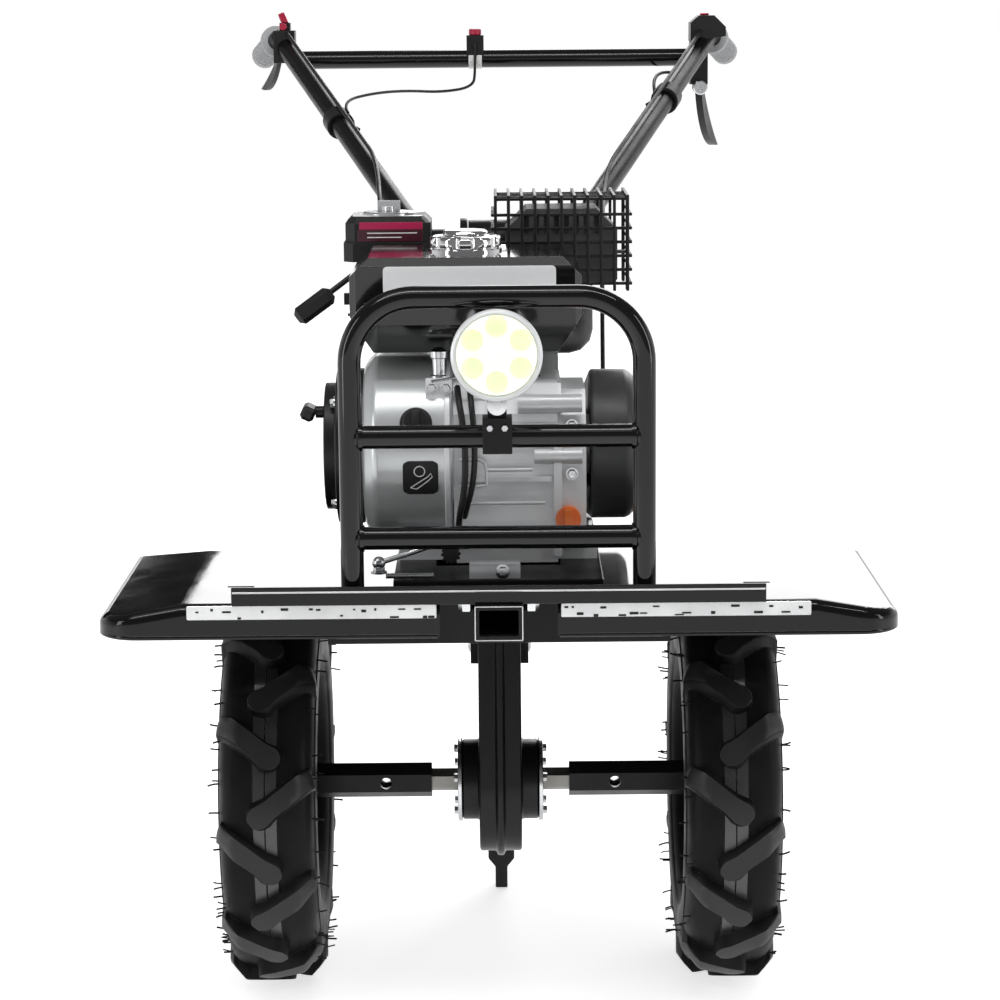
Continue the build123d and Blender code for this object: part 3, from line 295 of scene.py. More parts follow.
def makeFinish(name, look):
    material, tree = newMaterial(name)
    shader = tree.nodes["Principled BSDF"]
    placed = {key: put(tree, "ShaderNodeGroup", node_tree=group) for key, group in groups.items()}
    tone, dust, edge, grain = (placed[k] for k in ("tone", "dust", "edge", "grain"))
    fill(tone, {"Base": rgba(look["base"]), "Shade": rgba(look["shade"]), "Amount": finishBase["drift"]})
    fill(edge, {"Worn And Sheen": rgba(look["worn_and_sheen"]), "Amount": look["wear_and_sheen"]})
    fill(dust, {"Amount": look["dust"]})
    size, depth = look["grain"]
    fill(grain, {"Scale": size})
    wire(tree, tone.outputs["Colour"], edge.inputs["Base"])
    wire(tree, edge.outputs["Colour"], dust.inputs["Base"])
    wire(tree, dust.outputs["Colour"], shader.inputs["Base Color"])
    low, high = look["rough"]
    base = maths(tree, "ADD", maths(tree, "MULTIPLY", grain.outputs["Patches"], high - low), low)
    dusty = maths(tree, "MULTIPLY", dust.outputs["Mask"], finishBase["dustRough"])
    wire(tree, maths(tree, "ADD", base, dusty, clamp=True), shader.inputs["Roughness"])
    bump = put(tree, "ShaderNodeBump", Strength=depth, Distance=finishBase["bump"])
    wire(tree, grain.outputs["Height"], bump.inputs["Height"])
    wire(tree, bump.outputs[0], shader.inputs["Normal"])
    fill(shader, {"Metallic": look.get("metal", 0.0), "Specular IOR Level": look.get("shine", 0.5),
                  "Coat Weight": look.get("coat", 0.0), "Coat Roughness": finishBase["coatRough"]})
    # the glow is painted light, making the lamp's cells and reflector look bright
    if "glow" in look:
        wire(tree, tone.outputs["Colour"], shader.inputs["Emission Color"])
        fill(shader, {"Emission Strength": look["glow"]})
    return material


materials = {name: makeFinish(name, look) for name, look in finishes.items()}
lensLook = {"tint": (0.95, 0.97, 0.94), "rough": 0.03, "ior": 1.45, "flutes": 90.0, "depth": 0.12,
            "bump": 0.001}


def makeLensGlass():
    # clear moulded lens with fine fluting on its back
    material, tree = newMaterial("lens")
    shader = tree.nodes["Principled BSDF"]
    fill(shader, {"Base Color": rgba(lensLook["tint"]), "Roughness": lensLook["rough"],
                  "Transmission Weight": 1.0,
                  "IOR": lensLook["ior"]})
    flutes = put(tree, "ShaderNodeTexWave", Scale=lensLook["flutes"], Distortion=0.0)
    wire(tree, put(tree, "ShaderNodeTexCoord").outputs["Object"], flutes.inputs["Vector"])
    bump = put(tree, "ShaderNodeBump", Strength=lensLook["depth"], Distance=lensLook["bump"])
    wire(tree, flutes.outputs["Fac"], bump.inputs["Height"])
    wire(tree, bump.outputs[0], shader.inputs["Normal"])
    return material


materials["lens"] = makeLensGlass()
print("finishes made:", len(materials))

# mesh helpers


def facing(point, direction):
    # a frame at the point whose Z looks along the direction
    return Matrix.Translation(point) @ Vector(direction).to_track_quat("Z", "Y").to_matrix().to_4x4()


def at(x, y, z, direction):
    # the same, at a point given in millimetres
    return facing((x * mm, y * mm, z * mm), direction)


def showPiece(name, bm, finish, slot=None, body="chassis", sharp=35):
    # makes the piece with the finish and hangs it on its body
    mesh = bpy.data.meshes.new(name)
    bmesh.ops.recalc_face_normals(bm, faces=bm.faces)
    bm.to_mesh(mesh)
    bm.free()
    mesh.polygons.foreach_set("use_smooth", [True] * len(mesh.polygons))
    mesh.set_sharp_from_angle(angle=radians(sharp))
    piece = bpy.data.objects.new(name, mesh)
    mesh.materials.append(materials[finish])
    scene.collection.objects.link(piece)
    if body:
        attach(piece, body)
    slot = finish if slot is None else slot
    return piece


def around(count, turn=0.0):
    return [2 * pi * k / count + turn for k in range(count)]


def joinRings(bm, rings):
    # walls from ring to ring, and a cap on both ends
    for a, b in zip(rings, rings[1:]):
        count = len(a)
        for i in range(count):
            bm.faces.new((a[i], a[(i + 1) % count], b[(i + 1) % count], b[i]))
    bm.faces.new(rings[0][::-1])
    bm.faces.new(rings[-1])


def addTube(bm, path, radius, sides=20):
    # a round section carried along the path, turned no more than the path turns; radius in millimetres
    radius *= mm
    points = [Vector(p) for p in path]
    heading = (points[1] - points[0]).normalized()
    across = heading.orthogonal().normalized()
    rings = []
    for i, point in enumerate(points):
        ahead = (points[min(i + 1, len(points) - 1)] - points[max(i - 1, 0)]).normalized()
        across = (across - ahead * across.dot(ahead)).normalized()
        beside = ahead.cross(across)
        rings.append([bm.verts.new(point + across * (radius * cos(a)) + beside * (radius * sin(a)))
                      for a in around(sides)])
    joinRings(bm, rings)


def addLathe(bm, profile, place, sides=32, closed=False):
    # (radius, height) points turned round the frame's Z; a radius of 0 closes an end
    rings = []
    for radius, height in profile:
        if radius < 1e-7:
            rings.append([bm.verts.new(place @ Vector((0, 0, height)))])
            continue
        rings.append([bm.verts.new(place @ Vector((radius * cos(a), radius * sin(a), height)))
                      for a in around(sides)])
    pairs = list(zip(rings, rings[1:])) + ([(rings[-1], rings[0])] if closed else [])
    for a, b in pairs:
        for i in range(sides):
            corners = [a[i % len(a)], a[(i + 1) % len(a)], b[(i + 1) % len(b)], b[i % len(b)]]
            corners = list(dict.fromkeys(corners))
            if len(corners) > 2:
                bm.faces.new(corners)


def addTurned(bm, profile, place, sides=32, closed=False):
    # the same, from a profile in millimetres
    addLathe(bm, [(radius * mm, height * mm) for radius, height in profile], place, sides, closed)


def addBlock(bm, low, high, edge=0.0, place=None):
    # a box between two corners, its edges rounded; in millimetres
    made = bmesh.ops.create_cube(bm, size=1.0)["verts"]
    low, high, edge = Vector(low) * mm, Vector(high) * mm, edge * mm
    middle = (low + high) / 2
    size = high - low
    for v in made:
        v.co = Vector((v.co.x * size.x, v.co.y * size.y, v.co.z * size.z)) + middle
    if edge:
        edges = list({e for v in made for e in v.link_edges})
        made = bmesh.ops.bevel(bm, geom=edges, offset=edge, segments=2, profile=0.5, affect="EDGES")["verts"]
    if place:
        for v in {w for v in made for f in v.link_faces for w in f.verts}:
            v.co = place @ v.co


def addBolt(bm, place, flats, height, washer=True):
    # washer, and a hexagon with its corners turned down and its top dished; sizes in millimetres
    flats, height = flats * mm, height * mm
    half = flats / 2 / cos(pi / 6)
    base = 0.0
    if washer:
        base = 1.6 * mm
        addLathe(bm, [(0, 0), (half * 1.35, 0), (half * 1.35, base), (0, base)], place, sides=20)
    addLathe(bm, [(half, base), (half, base + height * 0.8), (half * 0.86, base + height),
                  (half * 0.5, base + height),
                  (half * 0.45, base + height * 0.93), (0, base + height * 0.93)], place, sides=6)


def addPlate(bm, place, width, height, thick, corner, steps=5):
    # a flat plate with round corners, in the frame's XY, rising along Z; sizes in millimetres
    width, height, thick, corner = (value * mm for value in (width, height, thick, corner))
    outline = []
    for cx, cy, start in ((1, 1, 0), (-1, 1, 90), (-1, -1, 180), (1, -1, 270)):
        for k in range(steps + 1):
            a = radians(start + 90 * k / steps)
            x = cx * (width / 2 - corner) + corner * cos(a)
            y = cy * (height / 2 - corner) + corner * sin(a)
            outline.append((x, y))
    edge = min(thick * 0.4, corner * 0.3)
    rings = []
    for z, inset in ((0, 0), (thick - edge, 0), (thick, edge)):
        ring = []
        for x, y in outline:
            shrink = (1 - 2 * inset / width, 1 - 2 * inset / height)
            ring.append(bm.verts.new(place @ Vector((x * shrink[0], y * shrink[1], z))))
        rings.append(ring)
    joinRings(bm, rings)


def bentRun(points, bend, steps=10):
    # corner points of a bent pipe, with a true arc at each corner
    points = [Vector(p) for p in points]
    run = [points[0]]
    for before, corner, after in zip(points, points[1:], points[2:]):
        ahead = (corner - before).normalized()
        onward = (after - corner).normalized()
        turn = ahead.angle(onward)
        start = corner - ahead * (bend * tan(turn / 2))
        middle = corner + (onward - ahead).normalized() * (bend / cos(turn / 2))
        for k in range(steps + 1):
            a = turn * k / steps
            run.append(middle + (start - middle) * cos(a) + ahead * (bend * sin(a)))
    return run + [points[-1]]


def softened(node, edge, steps=2, crease=32, zones=()):
    # the CAD solid's own form with its sharp edges broken, as the real piece's are
    mesh = frame["nodes"][node].data.copy()
    mesh.name = node + "_form"
    bm = bmesh.new()
    bm.from_mesh(mesh)
    bmesh.ops.remove_doubles(bm, verts=bm.verts, dist=2e-6)
    bmesh.ops.dissolve_limit(bm, angle_limit=radians(0.8), verts=bm.verts, edges=bm.edges)
    mesh.materials.clear()
    mesh.materials.append(materials[slotOf[node]])
    for face in bm.faces:
        face.material_index = 0
        face.smooth = True
    for i, (finish, test) in enumerate(zones):
        mesh.materials.append(materials[finish])
        for face in bm.faces:
            if test(face.calc_center_median()):
                face.material_index = i + 1
    bm.to_mesh(mesh)
    bm.free()
    mesh.set_sharp_from_angle(angle=radians(crease))
    piece = bpy.data.objects.new(node + "_form", mesh)
    scene.collection.objects.link(piece)
    bevel = piece.modifiers.new("broken edges", "BEVEL")
    bevel.width = edge
    bevel.segments = steps
    bevel.limit_method = "ANGLE"
    bevel.angle_limit = radians(crease)
    bevel.miter_outer = "MITER_ARC"
    flat = piece.modifiers.new("flat faces", "WEIGHTED_NORMAL")
    flat.keep_sharp = False
    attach(piece, bodyOf[node])
    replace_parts(piece, node)
    return piece


# solids that keep their CAD form: how far each one's edges are broken
edgeBreaks = {
    "chassis_frame": 1.5, "front_beam": 1.5, "front_bar": 0.9, "front_receiver": 1.2, "fender_left": 0.6,
    "fender_right": 0.6, "headlight_bracket": 1.5, "gearbox": 3.0, "drive_leg": 2.5, "bearing_caps": 0.8,
    "crankcase": 2.5, "cylinder": 0.8, "blower_housing": 4.0, "recoil_cover": 1.6, "recoil_handle": 2.0,
    "fuel_tank": 4.5, "air_cleaner": 2.5, "carburettor": 2.0, "engine_levers": 2.0, "oil_cap": 1.2,
    "muffler": 1.8, "muffler_cage": 0.7, "belt_cover": 4.0, "shift_lever": 1.2, "rear_hitch": 1.5,
    "drag_stake": 1.5, "handle_column": 2.0, "handle_yoke": 1.2, "control_left": 3.0, "control_right": 2.5,
    "stop_switch": 3.0, "red_caps": 1.5, "cable_clips": 1.2, "axle_shaft": 0.6, "sleeve_left": 1.0,
    "sleeve_right": 1.0, "wheel_left": 1.5, "wheel_right": 1.5,
}
# spots with a finish of their own: pin holes of the sleeves, their walls painted pale for the light seen
# through them, wing nut of the cleaner, knob of the lever
spotLook = {"pin": ((120, -357.5, 207), (6.5, 15, 6.5)), "nut": ((-112.5, -252.5), (14, 9)),
            "nutDeep": 14.2, "knob": 35}
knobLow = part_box("shift_lever")[1].z - spotLook["knob"] * mm
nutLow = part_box("air_cleaner")[1].z - spotLook["nutDeep"] * mm


def near(point, middle, reach):
    return all(abs(p - m * mm) < r * mm for p, m, r in zip(point, middle, reach))


# painted light: the pin holes' walls are pale, standing in for the white seen through them
paintedBoreLight = [("panel_silver", lambda p: near((abs(p.x), p.y, p.z), *spotLook["pin"]))]
zonesOf = {
    "muffler_cage": [("cage_black", lambda p: True)],
    "axle_shaft": [("steel_dull", lambda p: True)],
    "sleeve_left": paintedBoreLight,
    "sleeve_right": paintedBoreLight,
    "shift_lever": [("black_plastic", lambda p: p.z > knobLow)],
    "air_cleaner": [("zinc", lambda p: p.z > nutLow and near((p.x, p.y), *spotLook["nut"]))],
}
# more steps on large soft corners, and a low crease angle that keeps the fold of the fenders
rounder = {"fuel_tank": 4, "blower_housing": 4, "control_left": 3, "belt_cover": 4}
shallow = {"fender_left": 10, "fender_right": 10}
for node, edge in edgeBreaks.items():
    softened(node, edge * mm, rounder.get(node, 2), shallow.get(node, 32), zonesOf.get(node, ()))
print("solids dressed:", len(edgeBreaks))

# front guard: one bent tube and two cross bars
guard = {"y": -607.5, "half": 139.0, "foot": 455.0, "top": 741.0, "bend": 62.0, "tube": 11.0,
         "bars": (512.0, 609.0), "barPoints": (-135, -60, 60, 135), "weldIn": 10.0,
         "weld": ((12.6, -2), (13.2, 0), (12.9, 2.2), (11, 3.4), (10.6, -2))}


def frontGuard():
    y, half = guard["y"] * mm, guard["half"] * mm
    bm = bmesh.new()
    corners = [(-half, y, guard["foot"] * mm), (-half, y, guard["top"] * mm), (half, y, guard["top"] * mm),
               (half, y, guard["foot"] * mm)]
    addTube(bm, bentRun(corners, guard["bend"] * mm, steps=16), guard["tube"], sides=32)
    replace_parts(showPiece("guard_hoop_tube", bm, "pipe_black", "black_gloss"), "guard_hoop")
    bm = bmesh.new()
    for z in guard["bars"]:
        addTube(bm, [(x * mm, y, z * mm) for x in guard["barPoints"]], guard["tube"], sides=32)
    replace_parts(showPiece("guard_bar_tubes", bm, "pipe_black", "black_gloss"), "guard_bars")
    bm = bmesh.new()  # weld beads where the bars meet the hoop
    for z in guard["bars"]:
        for side in (-1, 1):
            place = at(side * (guard["half"] - guard["weldIn"]), guard["y"], z, leftward * side)
            addTurned(bm, guard["weld"], place, sides=28, closed=True)
    showPiece("guard_welds", bm, "pipe_black", "black_gloss")


# handlebars: two tubes from the clamp, their cross bar, and the ribbed grips
bars = {"foot": (76.0, -142.5, 749.0), "top": (284.0, 559.5, 968.0), "gripStart": (288.05, 571.4, 964.2),
        "gripEnd": (314.0, 647.5, 940.0), "bend": 36.0, "tube": 12.5, "cross": 0.875, "clips": (0.66, 0.55),
        "gripLength": 76.0, "gripRadius": 17.0, "ribs": 11, "crossTube": 11.5, "crossIn": 6.0}


def onSide(point, side):
    return Vector((point[0] * side, point[1], point[2])) * mm


def alongBar(side, share):
    foot, top = onSide(bars["foot"], side), onSide(bars["top"], side)
    return foot + (top - foot) * share


def handleBars():
    for side, word in ((1, "left"), (-1, "right")):
        bm = bmesh.new()
        run = bentRun([onSide(bars[k], side) for k in ("foot", "top", "gripStart")], bars["bend"] * mm)
        addTube(bm, run, bars["tube"], sides=28)
        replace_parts(showPiece("handle_pipe_" + word, bm, "bar_black", "black_gloss", body="handlebar"),
                    "handle_tube_" + word)
    bm = bmesh.new()
    end = alongBar(1, bars["cross"])
    reach = end.x - bars["crossIn"] * mm
    addTube(bm, [(x, end.y, end.z) for x in (-reach, 0, reach)], bars["crossTube"], sides=28)
    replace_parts(showPiece("handle_cross_pipe", bm, "pipe_black", "black_gloss", body="handlebar"),
                "handle_crossbar")
    bm = bmesh.new()
    for side in (1, -1):
        start, finish = onSide(bars["gripStart"], side), onSide(bars["gripEnd"], side)
        place = facing(start, finish - start)
        r, length, ribs = bars["gripRadius"], bars["gripLength"], bars["ribs"]
        profile = [(0, 0), (r + 3, 0), (r + 4, 1), (r + 4, 6), (r + 3, 7)]
        step = (length - 20) / ribs
        for i in range(ribs):
            z = 9 + step * i
            profile += [(r - 1.6, z), (r - 1.6, z + step * 0.3), (r - 0.2, z + step * 0.42),
                        (r, z + step * 0.6),
                        (r - 0.2, z + step * 0.85)]
        profile += [(r, length - 9), (r, length - 4), (r - 3, length - 0.8), (0, length)]
        addTurned(bm, profile, place, sides=36)
    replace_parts(showPiece("ribbed_grips", bm, "grip_rubber", body="handlebar", sharp=50), "hand_grips")


# headlamp: chromed bowl, bright rim, six light cells in a pale reflector behind a clear lens; the reflector's
# pale colour stands in for its chrome's reflection, and its glow and the cells' glow are painted light
lamp = {"y": -647.5, "z": 690.0, "cells": 6, "cellRing": 25.8, "cellRadius": 10.2,
        "bowl": ((0, 60), (12, 60), (18, 59), (24, 53), (33, 38), (40.5, 22), (42.4, 15), (42.6, 11),
                 (42.6, 6), (37.2, 6), (36.6, 20), (0, 20)),
        "rim": ((43, 10.4), (43, 3), (42.2, 1), (40.6, 0), (39.4, 0.2), (38.5, 1.4), (38.2, 5), (37.4, 6),
                (37.4, 10.4)),
        "lens": ((0, 1.0), (14, 1.15), (28, 1.7), (35, 2.4), (37.8, 3.2), (37.8, 5), (0, 5)),
        "face": ((0, 17.2), (13, 17), (15, 15.4), (35.6, 15.4), (36.7, 14), (36.9, 8), (37.4, 7.4)),
        "dome": ((1.0, 15.8), (1.0, 14.8), (0.86, 13.7), (0.5, 12.9), (0, 12.7))}


def headLamp():
    place = at(0, lamp["y"], lamp["z"], -front)  # Z runs back into the bowl

    def turned(name, profile, finish, slot, closed=False):
        bm = bmesh.new()
        addTurned(bm, profile, place, 64, closed)
        return showPiece(name, bm, finish, slot)

    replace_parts(turned("lamp_bowl", lamp["bowl"], "chrome", "chrome"), "headlight_shell")
    turned("lamp_rim", lamp["rim"], "panel_silver", "chrome", closed=True)
    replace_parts(turned("lamp_lens", lamp["lens"], "lens", "lens"), "headlight_lens")
    # reflector face: painted pale and glowing, a painted reflection
    turned("lamp_face", lamp["face"], "lamp_cup", "chrome")
    cells = bmesh.new()
    for a in around(lamp["cells"], pi / 6):
        spot = place @ Matrix.Translation((lamp["cellRing"] * mm * cos(a), lamp["cellRing"] * mm * sin(a), 0))
        r = lamp["cellRadius"] * mm
        addLathe(cells, [(share * r, depth * mm) for share, depth in lamp["dome"]], spot, sides=24)
    showPiece("lamp_cells", cells, "led_phosphor", "lens")


# fuel cap: chromed, with flutes round its rim
capLook = {"place": (-30.0, -422.5, 769.0), "scallops": 10, "roundness": 0.7,
           # radius, height and depth of the flutes
           "rings": ((36, 0, 0), (36, 2.4, 0), (33.5, 3.2, 0), (33.5, 4.2, 0), (35.6, 5, 2.6), (36, 6.2, 3.4),
                     (36, 12.4, 3.4), (34.6, 14.2, 2.2), (31.5, 15.2, 0.6), (25, 15.6, 0), (23, 16.4, 0),
                     (22, 19.6, 0), (20, 20.8, 0), (10, 21, 0))}


def fuelCap():
    bm = bmesh.new()
    centre = Vector(capLook["place"]) * mm
    sides = capLook["scallops"] * 16
    rings = []
    for radius, height, depth in capLook["rings"]:
        ring = []
        for a in around(sides):
            q = radius - depth * max(0.0, cos(a * capLook["scallops"])) ** capLook["roundness"]
            ring.append(bm.verts.new(centre + Vector((q * cos(a), q * sin(a), height)) * mm))
        rings.append(ring)
    joinRings(bm, rings)
    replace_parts(showPiece("fluted_fuel_cap", bm, "chrome", sharp=45), "fuel_cap")


# control cables: the points of their routes, handlebar end first
# blend has the two points between which the real cable bends; such a cable rides on no body and is not bent
cables = {
    "stop_wire_sheath": {
        "node": "stop_wire", "radius": 1.8,
        "route": [(-25, 457.4, 960.6), (-25, 457.4, 925), (-28, 454, 905), (-68, 409, 900),
                  (-110, 361.8, 904), (-150, 307, 903), (-187.3, 252.9, 895), (-177.9, 224.1, 882.2)]},
    "throttle_cable_sheath": {
        "node": "throttle_cable", "radius": 2.5, "blend": (5, 7),
        "route": [(-270.9, 515.3, 975.3), (-240.8, 413.5, 943.6), (-209.6, 308.2, 910.7),
                  (-178.4, 202.9, 877.9), (-157.6, 132.7, 856), (-136.8, 62.5, 834.1),
                  (-123, -204.8, 781), (-123, -204.8, 765), (-123, -204.8, 749)]},
    "clutch_cable_sheath": {
        "node": "clutch_cable", "radius": 2.5, "blend": (5, 8),
        "route": [(270.9, 515.3, 975.3), (240.8, 413.5, 943.6), (209.6, 308.2, 910.7),
                  (178.4, 202.9, 877.9), (157.6, 132.7, 856), (124.3, 20.4, 820.9), (115, -175.8, 765),
                  (115, -175.8, 665), (115, -189.8, 615), (115, -189.8, 555)]},
}


def cordLine(name, route):
    # the smooth line of a route, read from its own spline
    curve = bpy.data.curves.new(name, "CURVE")
    curve.dimensions = "3D"
    curve.resolution_u = 8
    spline = curve.splines.new("NURBS")
    spline.points.add(len(route) - 1)
    for point, place in zip(spline.points, route):
        point.co = (place[0] * mm, place[1] * mm, place[2] * mm, 1)
    spline.order_u = 3
    spline.use_endpoint_u = True
    guide = bpy.data.objects.new(name, curve)
    scene.collection.objects.link(guide)
    bpy.context.view_layer.update()
    line = bpy.data.meshes.new_from_object(guide)
    path = [v.co.copy() for v in line.vertices]
    bpy.data.objects.remove(guide)
    bpy.data.meshes.remove(line)
    bpy.data.curves.remove(curve)
    return path


def showCord(name, spec, body="chassis"):
    # a cord on one body, or, with a blend, one left on no body
    path = cordLine(name, spec["route"])
    blend = spec.get("blend")
    bm = bmesh.new()
    addTube(bm, path, spec["radius"], sides=12)
    piece = showPiece(name, bm, "cable_black", body=None if blend else body, sharp=60)
    if blend:
        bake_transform(piece)
    if "node" in spec:
        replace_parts(piece, spec["node"])


def controlCables():
    for name, spec in cables.items():
        showCord(name, spec, "handlebar")


# tyres: a smooth carcass, round-nosed lugs in two staggered rows, and the whiskers that moulding leaves
tyreLook = {"axle": (-357.5, 207.0), "track": 466.0, "radius": 207.0, "base": 192.0, "bead": 103.0,
            "lugs": 11, "turn": -3.2, "line": ((49.0, 15.5), (38.0, 10.5), (-4.0, -21.9)), "lugHalf": 11.0,
            "nose": 13.5, "half": 49.0, "lugFoot": 163.0, "sink": 1.2, "wrap": 203.0, "ribHalf": 11.7,
            "ribRise": (1, 2.2),
            "shoulder": (32.0, 19 / 17), "whiskers": 120, "seed": 41,
            # across a lug: share of its half width, share of its height
            "section": ((-1.18, 0), (-1.0, 0.84), (-0.84, 1), (-0.3, 1), (0.3, 1), (0.84, 1), (1.0, 0.84),
                        (1.18, 0)),
            # radius and x of the moulding lines that carry whiskers
            "vents": {164.5: 48.3, 165.0: 48.3, 178.0: 46.0, 186.0: 42.5}}


def carcassHalf():
    # (x, radius) from the middle of the tread out to the bead
    base, bead = tyreLook["base"], tyreLook["bead"]
    return [(0, base + 0.5), (0.7, base + 1.7), (11.6, base + 1.5), (12.6, base + 0.3), (24, base + 0.1),
            (33, base - 0.8), (38, base - 3.2), (42, base - 7.5), (45, base - 13.5), (46.6, base - 20),
            (47.4, base - 25.4), (48.6, base - 26), (48.6, base - 28.2), (47.9, base - 28.8),
            (48.8, bead + 52), (49, bead + 43), (48.2, bead + 36), (46.6, bead + 31), (45.2, bead + 30.2),
            (44.6, bead + 28), (40, bead + 22.5), (35, bead + 19.4), (31.5, bead + 17.6), (30, bead + 14),
            (29.7, bead + 8), (29.7, bead)]


def lugTop(x):
    start, slope = tyreLook["shoulder"]
    return tyreLook["radius"] - max(0.0, abs(x) - start) * slope


def lugStations():
    # (x, along the tread, half width, how far it rises) from the shoulder to the tip of the nose
    points = [Vector(p) for p in tyreLook["line"]]
    half, nose = tyreLook["lugHalf"], tyreLook["nose"]
    rows = []
    for a, b, steps in ((points[0], points[1], 3), (points[1], points[2], 9)):
        for k in range(steps):
            spot = a.lerp(b, k / steps)
            left = (spot - points[2]).length
            bulb = sqrt(max(0.0, nose ** 2 - left ** 2)) if left < nose else 0.0
            rows.append((spot, b - a, max(half, bulb), 1.0))
    heading = (points[2] - points[1]).normalized()
    for ahead, rise in ((0, 1), (3.5, 1), (6.5, 1), (9, 1), (11, 1), (12.3, 0.99), (13.1, 0.9),
                        (13.45, 0.7), (14.6, 0)):
        rows.append((points[2] + heading * ahead, heading, sqrt(max(0.6, nose ** 2 - ahead ** 2)), rise))
    spot, along, wide, rise = rows[0]
    return [(spot, along, wide, 0.0), (spot, along, wide, 0.86)] + rows[1:]


def lugTyre(side, word):
    y0, z0 = tyreLook["axle"]
    centre = Vector((side * tyreLook["track"] / 2, y0, z0))
    bm = bmesh.new()
    halfRun = carcassHalf()
    profile = [(r * mm, -x * mm) for x, r in reversed(halfRun[1:])] + [(r * mm, x * mm) for x, r in halfRun]
    addLathe(bm, profile, facing(centre * mm, leftward), sides=132, closed=True)

    def low(x):
        for (xa, ra), (xb, rb) in zip(halfRun, halfRun[1:]):
            if xa <= x <= xb:
                return ra + (rb - ra) * (x - xa) / max(xb - xa, 1e-6)
        return tyreLook["lugFoot"]

    def spot3d(x, angle, radius):
        return (centre + Vector((side * x, radius * sin(angle), radius * cos(angle)))) * mm

    sections, foot = tyreLook["section"], tyreLook["lugFoot"]
    pitch = 2 * pi / tyreLook["lugs"]
    turn = radians(tyreLook["turn"])
    stations = lugStations()
    for i in range(2 * tyreLook["lugs"]):
        flip = 1 if i % 2 == 0 else -1
        grid = []
        for row, (place, along, wide, rise) in enumerate(stations):
            across = Vector((-along[1], along[0])).normalized()
            line = []
            for share, lift in sections:
                flat = place + across * (wide * share)
                x = min(flat.x, tyreLook["half"])
                floor = foot if row == 0 else max(foot, low(abs(x)) - tyreLook["sink"])
                radius = floor + (lugTop(x) - floor) * min(rise, lift if rise else 0)
                angle = flat.y / tyreLook["wrap"] - i * pitch / 2 - turn
                line.append(bm.verts.new(spot3d(flip * x, angle, radius)))
            grid.append(line)
        for row, (a, b) in enumerate(zip(grid, grid[1:])):
            raised = min(stations[row][3], stations[row + 1][3]) > 0.8
            for k in range(len(sections) - 1):
                face = bm.faces.new((a[k], a[k + 1], b[k + 1], b[k]))
                # the flat tops of the lugs take the lighter copy of the rubber, a painted sheen
                face.material_index = 2 if raised and sections[k][1] == sections[k + 1][1] == 1 else 0
    piece = showPiece("lug_tyre_" + word, bm, "tyre_rubber", body="axle", sharp=48)
    # the rib round the middle is glossier, and its lighter colour is a painted sheen; the lug tops take a
    # lighter copy of the rubber, a painted sheen
    for name in ("tyre_shine", "tyre_lug_top_painted_sheen"):
        piece.data.materials.append(materials[name])
    for face in piece.data.polygons:
        spot = face.center / mm - centre
        rise = hypot(spot.y, spot.z) - tyreLook["base"]
        if abs(spot.x) < tyreLook["ribHalf"] and tyreLook["ribRise"][0] < rise < tyreLook["ribRise"][1]:
            face.material_index = 1
    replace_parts(piece, "tyre_" + word)
    bm = bmesh.new()
    draw = random.Random(tyreLook["seed"] + side)
    for _ in range(tyreLook["whiskers"]):
        flip = draw.choice((-1, 1))
        angle = draw.uniform(0, 2 * pi)
        radius = draw.choice(list(tyreLook["vents"]))
        long, lean, droop = draw.uniform(6.0, 11.5), draw.uniform(-0.3, 0.3), draw.uniform(-0.25, 0.25)
        x = tyreLook["vents"][radius]
        path = [spot3d(flip * (x + long * t), angle + lean * long * t * t / radius, radius + droop * long * t)
                for t in (0, 0.4, 0.75, 1)]
        addTube(bm, path, draw.uniform(0.75, 1.1), sides=6)
    showPiece("tyre_whiskers_" + word, bm, "tyre_rubber", body="axle", sharp=80)


# fenders: the rolled wire edge along the front, the outer side and the falling rear
beadLook = {"inner": 58.0, "outer": 381.5, "front": -626.0, "fall": -347.5, "rear": -154.0, "z": 421.0,
            "drop": 62.0, "corner": 38.5, "radius": 2.5}


def fenderBead(side, word):
    look = beadLook
    z = look["z"]
    points = [(look["inner"], look["front"], z), (look["outer"], look["front"], z),
              (look["outer"], look["fall"], z),
              (look["outer"], look["rear"], z - look["drop"])]
    points = [(side * x * mm, y * mm, z * mm) for x, y, z in points]
    run = bentRun(points[:3], look["corner"] * mm, steps=12)
    bm = bmesh.new()
    addTube(bm, run + [points[3]], look["radius"], sides=14)
    showPiece("fender_bead_" + word, bm, "black_gloss")


# painted reflection: a bright strip along the front lip of each fender, with dark specks for what the lip
# mirrors, a painted highlight line along the front bar, and a painted highlight round the mouth of the tool
# socket
paintedReflectionLook = {"inner": 59.0, "outer": 296.0, "front": -627.4, "z": 445.0, "high": 13.5, "corner": 1.6,
             "slots": (64, 70, 77, 92, 99, 117, 128, 137, 149, 171, 178, 203, 224, 246, 258, 272, 286),
             "speckHeights": (-5.2, -3.4, 1.0, 2.4, 3.0), "speckWide": (2, 9), "speckHigh": (1.2, 2.8),
             "proud": 0.8, "seed": 5, "barHighlight": (252.0, 5.0, 0.9),
             "mouth": (22.4, 419.2, 451.6, -642.2), "mouthHighlight": 0.55}


